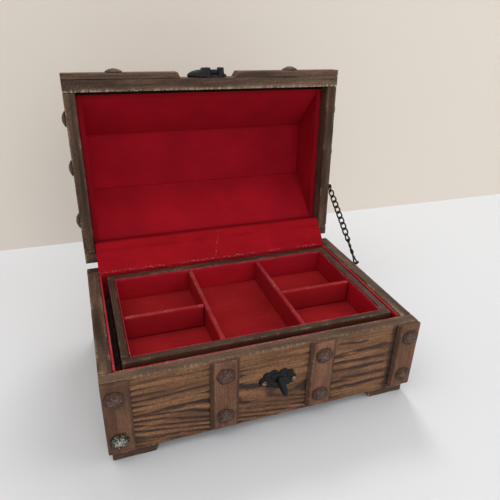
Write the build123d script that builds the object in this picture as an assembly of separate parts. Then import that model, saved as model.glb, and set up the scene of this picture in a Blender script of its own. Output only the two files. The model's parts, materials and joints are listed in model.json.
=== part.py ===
from build123d import *
import math
import os

os.makedirs("parts", exist_ok=True)

# A wooden keepsake chest: a faceted lid, a lift-out tray, a hasp with a turn button and a stay chain.
# Sizes are in millimetres. +X is the right side as its front is faced, -Y the front, +Z up.
# Everything is drawn from a point on the table under the middle of the base.
# At the end it moves to the origin under the middle of the whole outline, with the lid open.
# The lid and what it carries are drawn shut, then swung open about the hinge, as they stand at rest.

# Carcass
chest_width = 240.0
chest_depth = 160.0
rim_height = 71.3
board = 9.6
foot_height = 7.0
foot_length = 33.0
foot_depth = 30.0
foot_slant = 2.5
foot_inset_side = 2.3
foot_inset_front = 1.0
bottom_inset = 1.0
bottom_thick = 4.0

# Straps on the front and over the lid
strap_thick = 3.5
strap_lift = 3.5
strap_width = 23.2
corner_strap_width = 20.0
strap_share = 0.15625

# Domed nails on straps, mouldings and lid ends
stud_radius = 6.5
stud_edge = 0.5
stud_rise = 2.1
stud_shank_radius = 1.0
stud_shank = 6.0
shank_clearance = 0.05
stud_inset = 12.2
lid_stud_inset = 15.0

# Red card lining of the base and the two ledges under the tray
card = 2.0
lining_drop = 1.0
ledge_width = 12.0
ledge_height = 6.0
ledge_end_gap = 1.5

# Tray
tray_height = 26.0
tray_drop = 0.5
tray_board = 6.0
tray_bottom = 2.4
tray_card = 1.0
tray_card_drop = 0.6
tray_gap_left = 4.4
tray_gap_right = 1.8
tray_gap_front = 4.9
tray_gap_back = 6.4
divider_thick = 4.0
divider_drop = 1.6
long_divider_share = 0.1342
short_divider_offset = -4.0

# Lid
lid_gap = 0.4
open_angle = 93.15
lid_wall_height = 18.0
roof_board = 7.0
roof_height = 60.0
roof_slope_run = 47.25
lid_end_card = 4.4
lid_card_depth = 12.0
lid_card_top = 51.0
lid_card_inset_low = 6.75
lid_card_inset_high = 5.5
lid_card_shift = 1.25
card_clearance = 0.1
moulding_height = 16.0
moulding_thick = 4.8
moulding_bevel = 2.5
moulding_left_gap = 14.5
moulding_right_gap = 4.1
moulding_left_stud = 41.0
moulding_right_stud = 45.3
# The stay chain has the place of the rear one on the right
lid_left_end_studs = (39.0, 86.0, 126.0)
lid_right_end_studs = (86.0, 126.0)
lid_end_stud_height = 8.0

# Hinges
hinge_back = 2.2
hinge_lift = 1.0
hinge_end_gap = 45.0
hinge_width = 26.0
hinge_reach = 13.0
hinge_leaf = 0.9
hinge_barrel = 1.9
hinge_pin = 0.8
pin_clearance = 0.05
knuckle_gap = 0.3
screw_spread = 8.0
screw_radius = 2.1
screw_rise = 0.8
screw_edge = 1.4
screw_shank_radius = 0.9
screw_shank = 6.0

# Red cloth over the back rims
cloth_thick = 0.9
cloth_wall_gap = 0.05
cloth_side_gap = 0.4
cloth_tail = 28.0
cloth_step = 0.2
cloth_fold_u = 17.7
cloth_fold_v = 2.6
cloth_tuck_u = 15.6
cloth_tuck_v = 11.2

# Latch: plates, turn button and hasp
latch_x = 3.2
latch_height = 43.9
latch_plate = 1.6
latch_plate_lift = -0.3
latch_half_width = 14.7
latch_boss_radius = 6.4
latch_boss = 3.2
nail_lobe_margin = 2.2
nail_lobe_drop = 1.0
nail_inset = 1.2
neck_radius = 2.5
neck_depth = 5.0
neck_hole_spare = 0.5
wing_thick = 3.8
wing_high = 6.8
wing_low = 2.6
wing_reach = 10.8
wing_tip = 3.4
wing_tip_drop = 1.8
wing_tip_round = 1.0
hasp_gap = 0.3
hasp_leaf = 1.4
hasp_pivot_out = 4.2
hasp_pivot_up = 4.2
hasp_pin = 0.75
hasp_barrel = 2.1
hasp_neck_width = 5.6
hasp_throat_width = 9.0
hasp_throat_sink = 1.0
hasp_width = 18.0
hasp_length = 25.0
hasp_corner = 6.0
hasp_slot_width = 6.2
hasp_slot_length = 17.0
hasp_slot_corner = 2.2
lug_width = 5.4
lug_height = 9.0
lug_length = 6.4
lid_plate_low = 0.8
lid_plate_height = 12.7
lid_lobe_high_across = 5.0
lid_lobe_high_radius = 4.6
lid_lobe_low_across = 5.5
lid_lobe_low_radius = 4.2
lid_plate_right = 13.7
lid_dome_across = 15.0
lid_dome_length = 14.8
lid_dome_width = 10.0
lid_dome_height = 5.8
lid_dome_round = 2.8
nail_radius = 1.9
nail_rise = 0.7
nail_edge = 0.4
nail_shank_radius = 0.7
nail_shank = 5.0

# Lobes of the base plate: across, up and radius of each
middle_lobe = (0.0, -1.4, 7.3)
side_lobes = ((6.6, -2.2, 4.6), (4.1, 5.3, 3.3), (9.0, 3.8, 3.1))

# Stay chain on the right end
chain_links = 14
links_per_segment = 2
chain_wire = 1.2
chain_link_width = 4.2
chain_clearance = 0.4
chain_out = 4.8
chain_base_forward = 54.0
chain_base_drop = 2.8
chain_lid_back = 49.5
chain_lid_up = 4.0
chain_pin = 0.65
chain_pin_head = 2.2
chain_pin_head_thick = 0.8
chain_pin_shank = 6.0
chain_socket_gap = 0.1

# Places that follow from the sizes
left_x = -chest_width / 2
right_x = chest_width / 2
inner_x = right_x - board
strap_face_y = -chest_depth / 2
panel_y = strap_face_y + strap_thick
back_y = chest_depth / 2
inner_front_y = panel_y + board
inner_back_y = back_y - board
strap_foot_z = foot_height + strap_lift
floor_z = foot_height + bottom_inset + bottom_thick
lid_rim_z = rim_height + lid_gap
hinge_y = back_y + hinge_back
hinge_z = rim_height + hinge_lift
hinge_line = Axis((0, hinge_y, hinge_z), (1, 0, 0))
front_corner_u = back_y - panel_y
roof_mid_u = front_corner_u / 2
roof_top_half = roof_mid_u - roof_slope_run
lid_card_half_low = roof_mid_u - board - lid_card_inset_low
lid_card_half_high = roof_top_half - lid_card_inset_high
strap_offset = chest_width * strap_share
long_divider_offset = chest_width * long_divider_share
moulding_left_x = latch_x - latch_half_width - moulding_left_gap
moulding_right_x = latch_x + latch_half_width + moulding_right_gap


def shut(u, v):
    """The (y, z) place of a lid point while shut: u forward of its back face, v above its rim."""
    return back_y - u, lid_rim_z + v


def swung(y, z, angle):
    """A (y, z) point turned about the hinge line by an angle in degrees, positive towards shut."""
    turn = math.radians(angle)
    dy, dz = y - hinge_y, z - hinge_z
    cosine, sine = math.cos(turn), math.sin(turn)
    return hinge_y + dy * cosine - dz * sine, hinge_z + dy * sine + dz * cosine


def opened(solid):
    """A solid of the lid, moved from shut to where the open lid carries it."""
    return solid.rotate(hinge_line, -open_angle)


def block(x0, x1, y0, y1, z0, z1):
    """A rectangular piece between six limits."""
    return Pos((x0 + x1) / 2, (y0 + y1) / 2, (z0 + z1) / 2) * Box(x1 - x0, y1 - y0, z1 - z0)


def slab(outline, x0, x1):
    """An outline of (y, z) points carried along X."""
    return extrude(Plane.YZ.offset(x0) * Polygon(*outline, align=None), amount=x1 - x0, dir=(1, 0, 0))


def wedge(near, far):
    """The flat-sided solid between two four-cornered faces whose corners match in order."""
    rings = [Wire.make_polygon([Vector(*point) for point in corners], close=True) for corners in (near, far)]
    return loft([Face(ring) for ring in rings], ruled=True)


def nail(head_radius, edge, rise, shank_radius, shank):
    """A domed nail: its head stands on the seat at z = 0 and its shank goes down from there."""
    ball = (head_radius ** 2 + rise ** 2) / (2 * rise)
    dome = Pos(0, 0, edge + rise - ball) * Sphere(ball)
    dome &= Pos(0, 0, edge) * Cylinder(head_radius, rise, align=(Align.CENTER, Align.CENTER, Align.MIN))
    head = Cylinder(head_radius, edge, align=(Align.CENTER, Align.CENTER, Align.MIN))
    foot = Cylinder(shank_radius, shank, align=(Align.CENTER, Align.CENTER, Align.MAX))
    return head + dome + foot


def stud():
    return nail(stud_radius, stud_edge, stud_rise, stud_shank_radius, stud_shank)


def screw():
    return nail(screw_radius, nail_edge, screw_rise, screw_shank_radius, screw_shank)


def small_nail(extra=0.0):
    return nail(nail_radius, nail_edge, nail_rise, nail_shank_radius, nail_shank + extra)


def drilled(solid, seats, radius, depth):
    """A solid with a round hole down from each seat."""
    downwards = (Align.CENTER, Align.CENTER, Align.MAX)
    for seat in seats:
        solid -= seat * Cylinder(radius + shank_clearance, depth, align=downwards)
    return solid


def front_seat(x, z, out=0.0):
    """A plane that faces the front, its own y up, this far out from the front boards' face."""
    return Plane(origin=(x, panel_y - out, z), x_dir=(1, 0, 0), z_dir=(0, -1, 0))


def strap_footprints():
    """Left edge, right edge, left bevel and right bevel of each of the four straps."""
    half = strap_width / 2
    return [
        (left_x, left_x + corner_strap_width, 0.0, strap_thick),
        (-strap_offset - half, -strap_offset + half, strap_thick, strap_thick),
        (strap_offset - half, strap_offset + half, strap_thick, strap_thick),
        (right_x - corner_strap_width, right_x, strap_thick, 0.0),
    ]


def strap_middle(footprint):
    x0, x1, bevel_left, bevel_right = footprint
    return (x0 + bevel_left + x1 - bevel_right) / 2


# Seats of the nails, screws and studs
stud_heights = (strap_foot_z + stud_inset, rim_height - stud_inset)
base_stud_seats = [
    [front_seat(strap_middle(strap), z, strap_thick) for z in stud_heights]
    for strap in strap_footprints()
]
all_base_stud_seats = [seat for seats in base_stud_seats for seat in seats]
latch_nail_places = [latch_x + side * (latch_half_width - nail_radius - nail_inset) for side in (-1, 1)]
latch_nail_z = latch_height + latch_plate_lift - nail_lobe_drop
latch_nail_seats = [front_seat(x, latch_nail_z, latch_plate) for x in latch_nail_places]
lid_plate_z = lid_rim_z + lid_plate_low + lid_plate_height / 2
hasp_nail_left = front_seat(latch_x - lid_dome_across, lid_plate_z, lid_dome_height)
hasp_nail_right = front_seat(latch_x + lid_plate_right - nail_radius - nail_inset, lid_plate_z, latch_plate)
hasp_nail_extra = lid_dome_height - latch_plate
hinge_places = (left_x + hinge_end_gap, right_x - hinge_end_gap)


def hinge_screw_seats(x, z):
    return [
        Plane(origin=(x + side * screw_spread, back_y + hinge_leaf, z), x_dir=(1, 0, 0), z_dir=(0, 1, 0))
        for side in (-1, 1)
    ]


screw_drop = hinge_reach - screw_radius - screw_edge
base_screw_seats = [seat for x in hinge_places for seat in hinge_screw_seats(x, rim_height - screw_drop)]
lid_screw_seats = [seat for x in hinge_places for seat in hinge_screw_seats(x, lid_rim_z + screw_drop)]

chain_x = right_x + chain_out
chain_base = (back_y - chain_base_forward, rim_height - chain_base_drop)
chain_lid_shut = shut(chain_lid_back, chain_lid_up)


def end_seat(y, z, side):
    """A plane on the chest's left (-1) or right (1) end face."""
    return Plane(origin=(side * right_x, y, z), x_dir=(0, 0, 1), z_dir=(side, 0, 0))


def roof_outline(out):
    """The lid's outer facets from front edge to back edge, moved outwards square to each."""
    run = roof_mid_u - roof_top_half
    rise = roof_height - lid_wall_height
    slope = math.hypot(run, rise)
    foot_u = roof_mid_u + out * rise / slope
    foot_v = lid_wall_height + out * run / slope
    top_v = roof_height + out
    top_half = foot_u - (top_v - foot_v) * run / rise
    return [
        (roof_mid_u + foot_u, foot_v),
        (roof_mid_u + top_half, top_v),
        (roof_mid_u - top_half, top_v),
        (roof_mid_u - foot_u, foot_v),
    ]


def facet_seat(x, facet, share):
    """A plane on a strap's outer face: facet 0 is the front slope, 1 the top, 2 the back slope."""
    (u0, v0), (u1, v1) = roof_outline(strap_thick)[facet:facet + 2]
    y, z = shut(u0 + (u1 - u0) * share, v0 + (v1 - v0) * share)
    along = Vector(0, u0 - u1, v1 - v0)
    return Plane(origin=(x, y, z), x_dir=(1, 0, 0), z_dir=Vector(1, 0, 0).cross(along))


def lid_strap_seats(footprint):
    """Two seats on each facet of one strap, as far from the facet's ends."""
    seats = []
    outline = roof_outline(strap_thick)
    for facet in range(3):
        length = math.dist(outline[facet], outline[facet + 1])
        share = lid_stud_inset / length
        seats += [facet_seat(strap_middle(footprint), facet, at) for at in (share, 1 - share)]
    return seats


lid_strap_stud_seats = [lid_strap_seats(strap) for strap in strap_footprints()]
all_lid_strap_seats = [seat for seats in lid_strap_stud_seats for seat in seats]
moulding_stud_seats = [
    front_seat(x, lid_rim_z + moulding_height / 2, moulding_thick)
    for x in (left_x + moulding_left_stud, right_x - moulding_right_stud)
]
lid_end_seats = {
    side: [end_seat(*shut(u, lid_end_stud_height), side) for u in studs]
    for side, studs in ((-1, lid_left_end_studs), (1, lid_right_end_studs))
}
chain_lid_seat = end_seat(*chain_lid_shut, 1)
chain_base_seat = end_seat(*chain_base, 1)


# Base

def base_boards():
    front = block(left_x, right_x, panel_y, inner_front_y, foot_height, rim_height)
    front = drilled(front, all_base_stud_seats, stud_shank_radius, stud_shank)
    front = drilled(front, latch_nail_seats, nail_shank_radius, nail_shank)
    front = drilled(front, [front_seat(latch_x, latch_height)], neck_radius, neck_depth + neck_hole_spare)
    back = block(left_x, right_x, inner_back_y, back_y, foot_height, rim_height)
    back = drilled(back, base_screw_seats, screw_shank_radius, screw_shank)
    left = block(left_x, -inner_x, inner_front_y, inner_back_y, foot_height, rim_height)
    right = block(inner_x, right_x, inner_front_y, inner_back_y, foot_height, rim_height)
    right = drilled(right, [chain_base_seat], chain_pin, chain_pin_shank)
    bottom = block(-inner_x, inner_x, inner_front_y, inner_back_y, floor_z - bottom_thick, floor_z)
    return front, back, left, right, bottom


def foot(side, end):
    """A corner foot, its two inner ends slanting in towards the table."""
    outer_x = side * (right_x - foot_inset_side)
    outer_y = panel_y + foot_inset_front if end < 0 else back_y - foot_inset_front

    def ring(length, depth, z):
        inner_corner_x = outer_x - side * length
        inner_corner_y = outer_y - end * depth
        return [
            (outer_x, outer_y, z),
            (inner_corner_x, outer_y, z),
            (inner_corner_x, inner_corner_y, z),
            (outer_x, inner_corner_y, z),
        ]

    sole = ring(foot_length - foot_slant, foot_depth - foot_slant, 0)
    return wedge(sole, ring(foot_length, foot_depth, foot_height))


def base_strap(footprint, seats):
    x0, x1, bevel_left, bevel_right = footprint
    front_edge = [(x1 - bevel_right, strap_face_y), (x0 + bevel_left, strap_face_y)]
    outline = [(x0, panel_y), (x1, panel_y)] + front_edge
    face = Plane.XY.offset(strap_foot_z) * Polygon(*outline, align=None)
    strap = extrude(face, amount=rim_height - strap_foot_z, dir=(0, 0, 1))
    return drilled(strap, seats, stud_shank_radius, stud_shank)


cloth_front_y = inner_back_y - card - cloth_wall_gap - cloth_thick


def base_lining():
    """Four wall cards and a floor card: the side cards stop short of the cloth."""
    low = floor_z + card
    top = rim_height - lining_drop
    front_card_y = inner_front_y + card
    side_end_y = cloth_front_y - cloth_side_gap
    return [
        block(-inner_x, inner_x, inner_front_y, inner_back_y, floor_z, low),
        block(-inner_x, inner_x, inner_front_y, front_card_y, low, top),
        block(-inner_x, inner_x, inner_back_y - card, inner_back_y, low, top),
        block(-inner_x, -inner_x + card, front_card_y, side_end_y, low, top),
        block(inner_x - card, inner_x, front_card_y, side_end_y, low, top),
    ]


tray_top_z = rim_height - tray_drop
tray_foot_z = tray_top_z - tray_height
ledge_front_y = inner_front_y + card + ledge_end_gap
ledge_back_y = cloth_front_y - ledge_end_gap


def tray_ledges():
    reach = inner_x - card
    low_z = tray_foot_z - ledge_height
    return [
        block(-reach, -reach + ledge_width, ledge_front_y, ledge_back_y, low_z, tray_foot_z),
        block(reach - ledge_width, reach, ledge_front_y, ledge_back_y, low_z, tray_foot_z),
    ]


# Tray

tray_x0 = -inner_x + card + tray_gap_left
tray_x1 = inner_x - card - tray_gap_right
tray_y0 = inner_front_y + card + tray_gap_front
tray_y1 = inner_back_y - card - tray_gap_back
tray_in_x0 = tray_x0 + tray_board
tray_in_x1 = tray_x1 - tray_board
tray_in_y0 = tray_y0 + tray_board
tray_in_y1 = tray_y1 - tray_board
tray_floor_z = tray_foot_z + tray_bottom + tray_card
tray_mid_x = (tray_x0 + tray_x1) / 2
tray_mid_y = (tray_y0 + tray_y1) / 2
divider_top_z = tray_top_z - divider_drop


def tray_boards():
    front = block(tray_x0, tray_x1, tray_y0, tray_in_y0, tray_foot_z, tray_top_z)
    back = block(tray_x0, tray_x1, tray_in_y1, tray_y1, tray_foot_z, tray_top_z)
    left = block(tray_x0, tray_in_x0, tray_in_y0, tray_in_y1, tray_foot_z, tray_top_z)
    right = block(tray_in_x1, tray_x1, tray_in_y0, tray_in_y1, tray_foot_z, tray_top_z)
    bottom = block(tray_in_x0, tray_in_x1, tray_in_y0, tray_in_y1, tray_foot_z, tray_foot_z + tray_bottom)
    return front, back, left, right, bottom


def tray_lining():
    top = tray_top_z - tray_card_drop
    y0, y1 = tray_in_y0 + tray_card, tray_in_y1 - tray_card
    return [
        block(tray_in_x0, tray_in_x1, tray_in_y0, tray_in_y1, tray_floor_z - tray_card, tray_floor_z),
        block(tray_in_x0, tray_in_x1, tray_in_y0, y0, tray_floor_z, top),
        block(tray_in_x0, tray_in_x1, y1, tray_in_y1, tray_floor_z, top),
        block(tray_in_x0, tray_in_x0 + tray_card, y0, y1, tray_floor_z, top),
        block(tray_in_x1 - tray_card, tray_in_x1, y0, y1, tray_floor_z, top),
    ]


def divider(x0, x1, y0, y1):
    """A divider with a rounded top, along its longer side."""
    half = divider_thick / 2
    wall = block(x0, x1, y0, y1, tray_floor_z, divider_top_z - half)
    middle = ((x0 + x1) / 2, (y0 + y1) / 2, divider_top_z - half)
    if x1 - x0 > y1 - y0:
        return wall + Pos(*middle) * Rot(0, 90, 0) * Cylinder(half, x1 - x0)
    return wall + Pos(*middle) * Rot(90, 0, 0) * Cylinder(half, y1 - y0)


def long_divider(side):
    x = tray_mid_x + side * long_divider_offset
    half = divider_thick / 2
    return divider(x - half, x + half, tray_in_y0 + tray_card, tray_in_y1 - tray_card)


def short_divider(side):
    y = tray_mid_y + short_divider_offset
    half = divider_thick / 2
    near = long_divider_offset + half
    if side < 0:
        return divider(tray_in_x0 + tray_card, tray_mid_x - near, y - half, y + half)
    return divider(tray_mid_x + near, tray_in_x1 - tray_card, y - half, y + half)


# Lid, drawn shut

def lid_outline(points):
    return [shut(u, v) for u, v in points]


def inner_roof_u(v):
    """How far the roof boards' inner slope lies from the lid's middle at a height above the rim."""
    low, high = roof_outline(-roof_board)[:2]
    share = (v - low[1]) / (high[1] - low[1])
    return low[0] + (high[0] - low[0]) * share - roof_mid_u


def lid_boards():
    """Front and back boards, the two ends and the three roof boards."""
    front = slab(lid_outline([(front_corner_u - board, 0), (front_corner_u, 0),
                              (front_corner_u, lid_wall_height), (front_corner_u - board, lid_wall_height)]),
                 left_x, right_x)
    front = drilled(front, moulding_stud_seats, stud_shank_radius, stud_shank)
    front = drilled(front, [hasp_nail_right], nail_shank_radius, nail_shank)
    front = drilled(front, [hasp_nail_left], nail_shank_radius, nail_shank + hasp_nail_extra)
    back_outline = lid_outline([(0, 0), (board, 0), (board, lid_wall_height), (0, lid_wall_height)])
    back = slab(back_outline, left_x, right_x)
    back = drilled(back, lid_screw_seats, screw_shank_radius, screw_shank)
    half = roof_mid_u - board
    top_v = roof_height - roof_board
    top_half = inner_roof_u(top_v)
    shoulder = roof_outline(-roof_board)[0]
    slope = (roof_mid_u + top_half - shoulder[0]) / (top_v - shoulder[1])
    shoulder_v = shoulder[1] + (roof_mid_u + half - shoulder[0]) / slope
    end_points = [(board, 0), (roof_mid_u + half, 0), (roof_mid_u + half, shoulder_v),
                  (roof_mid_u + top_half, top_v), (roof_mid_u - top_half, top_v), (board, shoulder_v)]
    ends = {}
    for side in (-1, 1):
        x0, x1 = sorted((side * inner_x, side * right_x))
        end = slab(lid_outline(end_points), x0, x1)
        ends[side] = drilled(end, lid_end_seats[side], stud_shank_radius, stud_shank)
    ends[1] = drilled(ends[1], [chain_lid_seat], chain_pin, chain_pin_shank)
    outer = roof_outline(0)
    inner = [(roof_mid_u + inner_roof_u(lid_wall_height), lid_wall_height), (roof_mid_u + top_half, top_v),
             (roof_mid_u - top_half, top_v), (roof_mid_u - inner_roof_u(lid_wall_height), lid_wall_height)]
    roof = []
    for facet in range(3):
        points = [outer[facet], outer[facet + 1], inner[facet + 1], inner[facet]]
        piece = slab(lid_outline(points), left_x, right_x)
        roof.append(drilled(piece, all_lid_strap_seats, stud_shank_radius, stud_shank))
    return front, back, ends, roof


def lid_strap(footprint, seats):
    """Three bevelled lengths of strap, mitred where the roof turns."""
    x0, x1, bevel_left, bevel_right = footprint
    under, over = roof_outline(0), roof_outline(strap_thick)
    pieces = []
    for facet in range(3):
        y0, z0 = shut(*under[facet])
        y1, z1 = shut(*under[facet + 1])
        y2, z2 = shut(*over[facet])
        y3, z3 = shut(*over[facet + 1])
        near = [(x0, y0, z0), (x1, y0, z0), (x1, y1, z1), (x0, y1, z1)]
        far = [(x0 + bevel_left, y2, z2), (x1 - bevel_right, y2, z2),
               (x1 - bevel_right, y3, z3), (x0 + bevel_left, y3, z3)]
        pieces.append(drilled(wedge(near, far), seats, stud_shank_radius, stud_shank))
    return pieces


def moulding(x_end, x_gap, seat):
    """A raised strip along the lid's front edge, bevelled at its top and beside the latch."""
    step = math.copysign(moulding_bevel, x_end - x_gap)
    z0, z1 = lid_rim_z, lid_rim_z + moulding_height
    near = [(x_end, panel_y, z0), (x_gap, panel_y, z0), (x_gap, panel_y, z1), (x_end, panel_y, z1)]
    top = z1 - moulding_bevel
    face_y = panel_y - moulding_thick
    far = [(x_end, face_y, z0), (x_gap + step, face_y, z0), (x_gap + step, face_y, top), (x_end, face_y, top)]
    return drilled(wedge(near, far), [seat], stud_shank_radius, stud_shank)


def lid_lining():
    """Cards on the two ends and under the three roof boards, from a little way inside the rim."""
    middle = roof_mid_u + lid_card_shift
    inside = [(middle + lid_card_half_low, lid_card_depth), (middle + lid_card_half_high, lid_card_top),
              (middle - lid_card_half_high, lid_card_top), (middle - lid_card_half_low, lid_card_depth)]
    run = lid_card_half_low - lid_card_half_high
    rise = lid_card_top - lid_card_depth
    slope = math.hypot(run, rise)
    outward = card * slope / rise
    outer_top = lid_card_half_high + outward - card * run / rise
    outer_low = lid_card_half_low + outward
    outside = [(middle + outer_low, lid_card_depth), (middle + outer_top, lid_card_top + card),
               (middle - outer_top, lid_card_top + card), (middle - outer_low, lid_card_depth)]
    reach = inner_x - card_clearance
    cards = []
    for facet in range(3):
        points = [inside[facet], inside[facet + 1], outside[facet + 1], outside[facet]]
        cards.append(slab(lid_outline(points), -reach, reach))
    for side in (-1, 1):
        x0, x1 = sorted((side * (reach - lid_end_card), side * reach))
        cards.append(slab(lid_outline(inside), x0, x1))
    return cards


# Hinges

def barrel(x0, x1, radius):
    return Pos((x0 + x1) / 2, hinge_y, hinge_z) * Rot(0, 90, 0) * Cylinder(radius, x1 - x0)


def hinge_parts(x):
    """The base leaf, the lid leaf and the pin of one butt hinge, drawn shut."""
    half = hinge_width / 2
    knuckle = hinge_width / 3
    cut = hinge_barrel + knuckle_gap
    leaf_face_y = back_y + hinge_leaf
    base_leaf = block(x - half, x + half, back_y, leaf_face_y, rim_height - hinge_reach, hinge_z - cut)
    for x0 in (x - half, x + half - knuckle + knuckle_gap):
        x1 = x0 + knuckle - knuckle_gap
        base_leaf += block(x0, x1, back_y, leaf_face_y, hinge_z - cut, hinge_z)
        base_leaf += barrel(x0, x1, hinge_barrel)
    x0, x1 = x - half + knuckle, x + half - knuckle
    lid_leaf = block(x - half, x + half, back_y, leaf_face_y, hinge_z + cut, lid_rim_z + hinge_reach)
    lid_leaf += block(x0, x1, back_y, leaf_face_y, hinge_z, hinge_z + cut)
    lid_leaf += barrel(x0, x1, hinge_barrel)
    bore = barrel(x - half - 1, x + half + 1, hinge_pin + pin_clearance)
    base_leaf = drilled(base_leaf - bore, base_screw_seats, screw_shank_radius, screw_shank)
    lid_leaf = drilled(lid_leaf - bore, lid_screw_seats, screw_shank_radius, screw_shank)
    return base_leaf, lid_leaf, barrel(x - half, x + half, hinge_pin)


def hinge_cloth():
    """A band of cloth from behind the tray up over both back rims, folded in under the lid's lining."""
    wall_y = cloth_front_y + cloth_thick / 2
    points = [
        (wall_y, rim_height - cloth_tail),
        (wall_y, rim_height - cloth_step),
        swung(*shut(cloth_fold_u, cloth_fold_v), -open_angle),
        swung(*shut(cloth_tuck_u, cloth_tuck_v), -open_angle),
    ]
    return slab(ribbon(points, cloth_thick), -inner_x + cloth_side_gap, inner_x - cloth_side_gap)


def ribbon(points, thick):
    """The outline of a band of even thickness along a bent line."""
    normals = []
    for (y0, z0), (y1, z1) in zip(points, points[1:]):
        length = math.dist((y0, z0), (y1, z1))
        normals.append(((z0 - z1) / length, (y1 - y0) / length))
    corners = []
    for index, (y, z) in enumerate(points):
        before = normals[max(index - 1, 0)]
        after = normals[min(index, len(normals) - 1)]
        spread = 1 + before[0] * after[0] + before[1] * after[1]
        corners.append((y, z, (before[0] + after[0]) / spread, (before[1] + after[1]) / spread))
    half = thick / 2
    upper = [(y + ny * half, z + nz * half) for y, z, ny, nz in corners]
    lower = [(y - ny * half, z - nz * half) for y, z, ny, nz in corners]
    return upper + lower[::-1]


# Latch

def scalloped(lobes, plate_seat, thick):
    """A cast plate: round lobes run together and given one thickness."""
    outline = Sketch()
    for x, y, radius in lobes:
        outline += Pos(x, y) * Circle(radius)
    return extrude(plate_seat * outline, amount=thick)


def latch_base_plate():
    end_radius = nail_radius + nail_lobe_margin
    end_lobe = (latch_half_width - end_radius, -nail_lobe_drop, end_radius)
    lobes = [middle_lobe]
    for sign in (-1, 1):
        lobes += [(sign * across, up, radius) for across, up, radius in (end_lobe, *side_lobes)]
    plate = scalloped(lobes, front_seat(latch_x, latch_height + latch_plate_lift), latch_plate)
    boss = front_seat(latch_x, latch_height) * Cylinder(
        latch_boss_radius, latch_boss, align=(Align.CENTER, Align.CENTER, Align.MIN))
    bore = front_seat(latch_x, latch_height) * Cylinder(neck_radius + pin_clearance, 4 * latch_boss)
    return drilled(plate + boss - bore, latch_nail_seats, nail_shank_radius, nail_shank)


def turn_button():
    """A round neck through the plate and a finned wing in front of the hasp leaf."""
    wing_out = hasp_pivot_out + hasp_leaf / 2 + hasp_gap
    neck = front_seat(latch_x, latch_height, wing_out) * Cylinder(
        neck_radius, wing_out + neck_depth, align=(Align.CENTER, Align.CENTER, Align.MAX))
    back = panel_y - wing_out
    tip_z = latch_height - wing_tip_drop
    outline = [(back, latch_height + wing_high), (back, latch_height - wing_low),
               (back - wing_reach, tip_z - wing_tip / 2), (back - wing_reach, tip_z + wing_tip / 2)]
    wing = slab(outline, latch_x - wing_thick / 2, latch_x + wing_thick / 2)
    wing = fillet(wing.edges().filter_by(GeomType.LINE).group_by(Axis.Y)[0], wing_tip_round)
    return neck + wing


hasp_y = panel_y - hasp_pivot_out
hasp_z = lid_rim_z + hasp_pivot_up
hasp_line = Axis((0, hasp_y, hasp_z), (1, 0, 0))
hasp_rest = hasp_pivot_out - hasp_leaf / 2 - latch_plate - hasp_gap
hasp_tilt = math.degrees(math.asin(hasp_rest / (lid_plate_low + lid_plate_height - hasp_pivot_up)))
hasp_fold_angle = 180 + hasp_tilt


def pivot_bar(x0, x1, radius):
    """A round bar along X on the hasp's pivot."""
    return Pos((x0 + x1) / 2, hasp_y, hasp_z) * Rot(0, 90, 0) * Cylinder(radius, x1 - x0)


def hasp_leaf_piece():
    """The slotted leaf, drawn hanging over the base plate, then folded back up on the lid's front."""
    drop = hasp_z - latch_height
    seat = front_seat(latch_x, latch_height, hasp_pivot_out - hasp_leaf / 2)
    narrow = math.hypot(lug_height - hasp_pivot_out, lug_length / 2) + hasp_gap
    throat_low = hasp_length / 2 - hasp_throat_sink
    throat_high = drop - narrow
    throat = Rectangle(hasp_throat_width, throat_high - throat_low)
    outline = RectangleRounded(hasp_width, hasp_length, hasp_corner)
    outline += Pos(0, (throat_low + throat_high) / 2) * throat
    outline += Pos(0, drop / 2) * Rectangle(hasp_neck_width, drop)
    outline -= RectangleRounded(hasp_slot_width, hasp_slot_length, hasp_slot_corner)
    half = hasp_neck_width / 2
    leaf = extrude(seat * outline, amount=hasp_leaf) + pivot_bar(latch_x - half, latch_x + half, hasp_barrel)
    leaf -= pivot_bar(latch_x - half, latch_x + half, hasp_pin + pin_clearance)
    return leaf.rotate(hasp_line, -hasp_fold_angle)


def hasp_lid_plate():
    """The lid's cast plate with its two lugs and a thick dome on the left."""
    end_radius = nail_radius + nail_lobe_margin
    high = lid_plate_height / 2
    lobes = [(0, 0, high), (lid_plate_right - end_radius, 0, end_radius)]
    for sign in (-1, 1):
        lobes.append((sign * lid_lobe_high_across, high - lid_lobe_high_radius, lid_lobe_high_radius))
        lobes.append((sign * lid_lobe_low_across, lid_lobe_low_radius - high, lid_lobe_low_radius))
    plate = scalloped(lobes, front_seat(latch_x, lid_plate_z), latch_plate)
    gap = hasp_neck_width / 2 + hasp_gap
    lug_low = hasp_z - lug_length / 2
    for x0 in (latch_x - gap - lug_width, latch_x + gap):
        plate += block(x0, x0 + lug_width, panel_y - lug_height, panel_y, lug_low, lug_low + lug_length)
    seat = front_seat(latch_x - lid_dome_across, lid_plate_z)
    dome = extrude(seat * Ellipse(lid_dome_length / 2, lid_dome_width / 2), amount=lid_dome_height)
    plate += fillet(dome.edges().group_by(Axis.Y)[0], lid_dome_round)
    reach = hasp_neck_width / 2 + hasp_gap + lug_width + hasp_gap
    plate -= pivot_bar(latch_x - reach, latch_x + reach, hasp_pin + pin_clearance)
    plate = drilled(plate, [hasp_nail_right], nail_shank_radius, nail_shank)
    return drilled(plate, [hasp_nail_left], nail_shank_radius, nail_shank + hasp_nail_extra)


def hasp_pin_piece():
    reach = hasp_neck_width / 2 + hasp_gap + lug_width
    return pivot_bar(latch_x - reach, latch_x + reach, hasp_pin)


# Stay chain

upright = (Align.CENTER, Align.CENTER, Align.MIN)
chain_pin_length = chain_out + chain_link_width / 2


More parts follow.
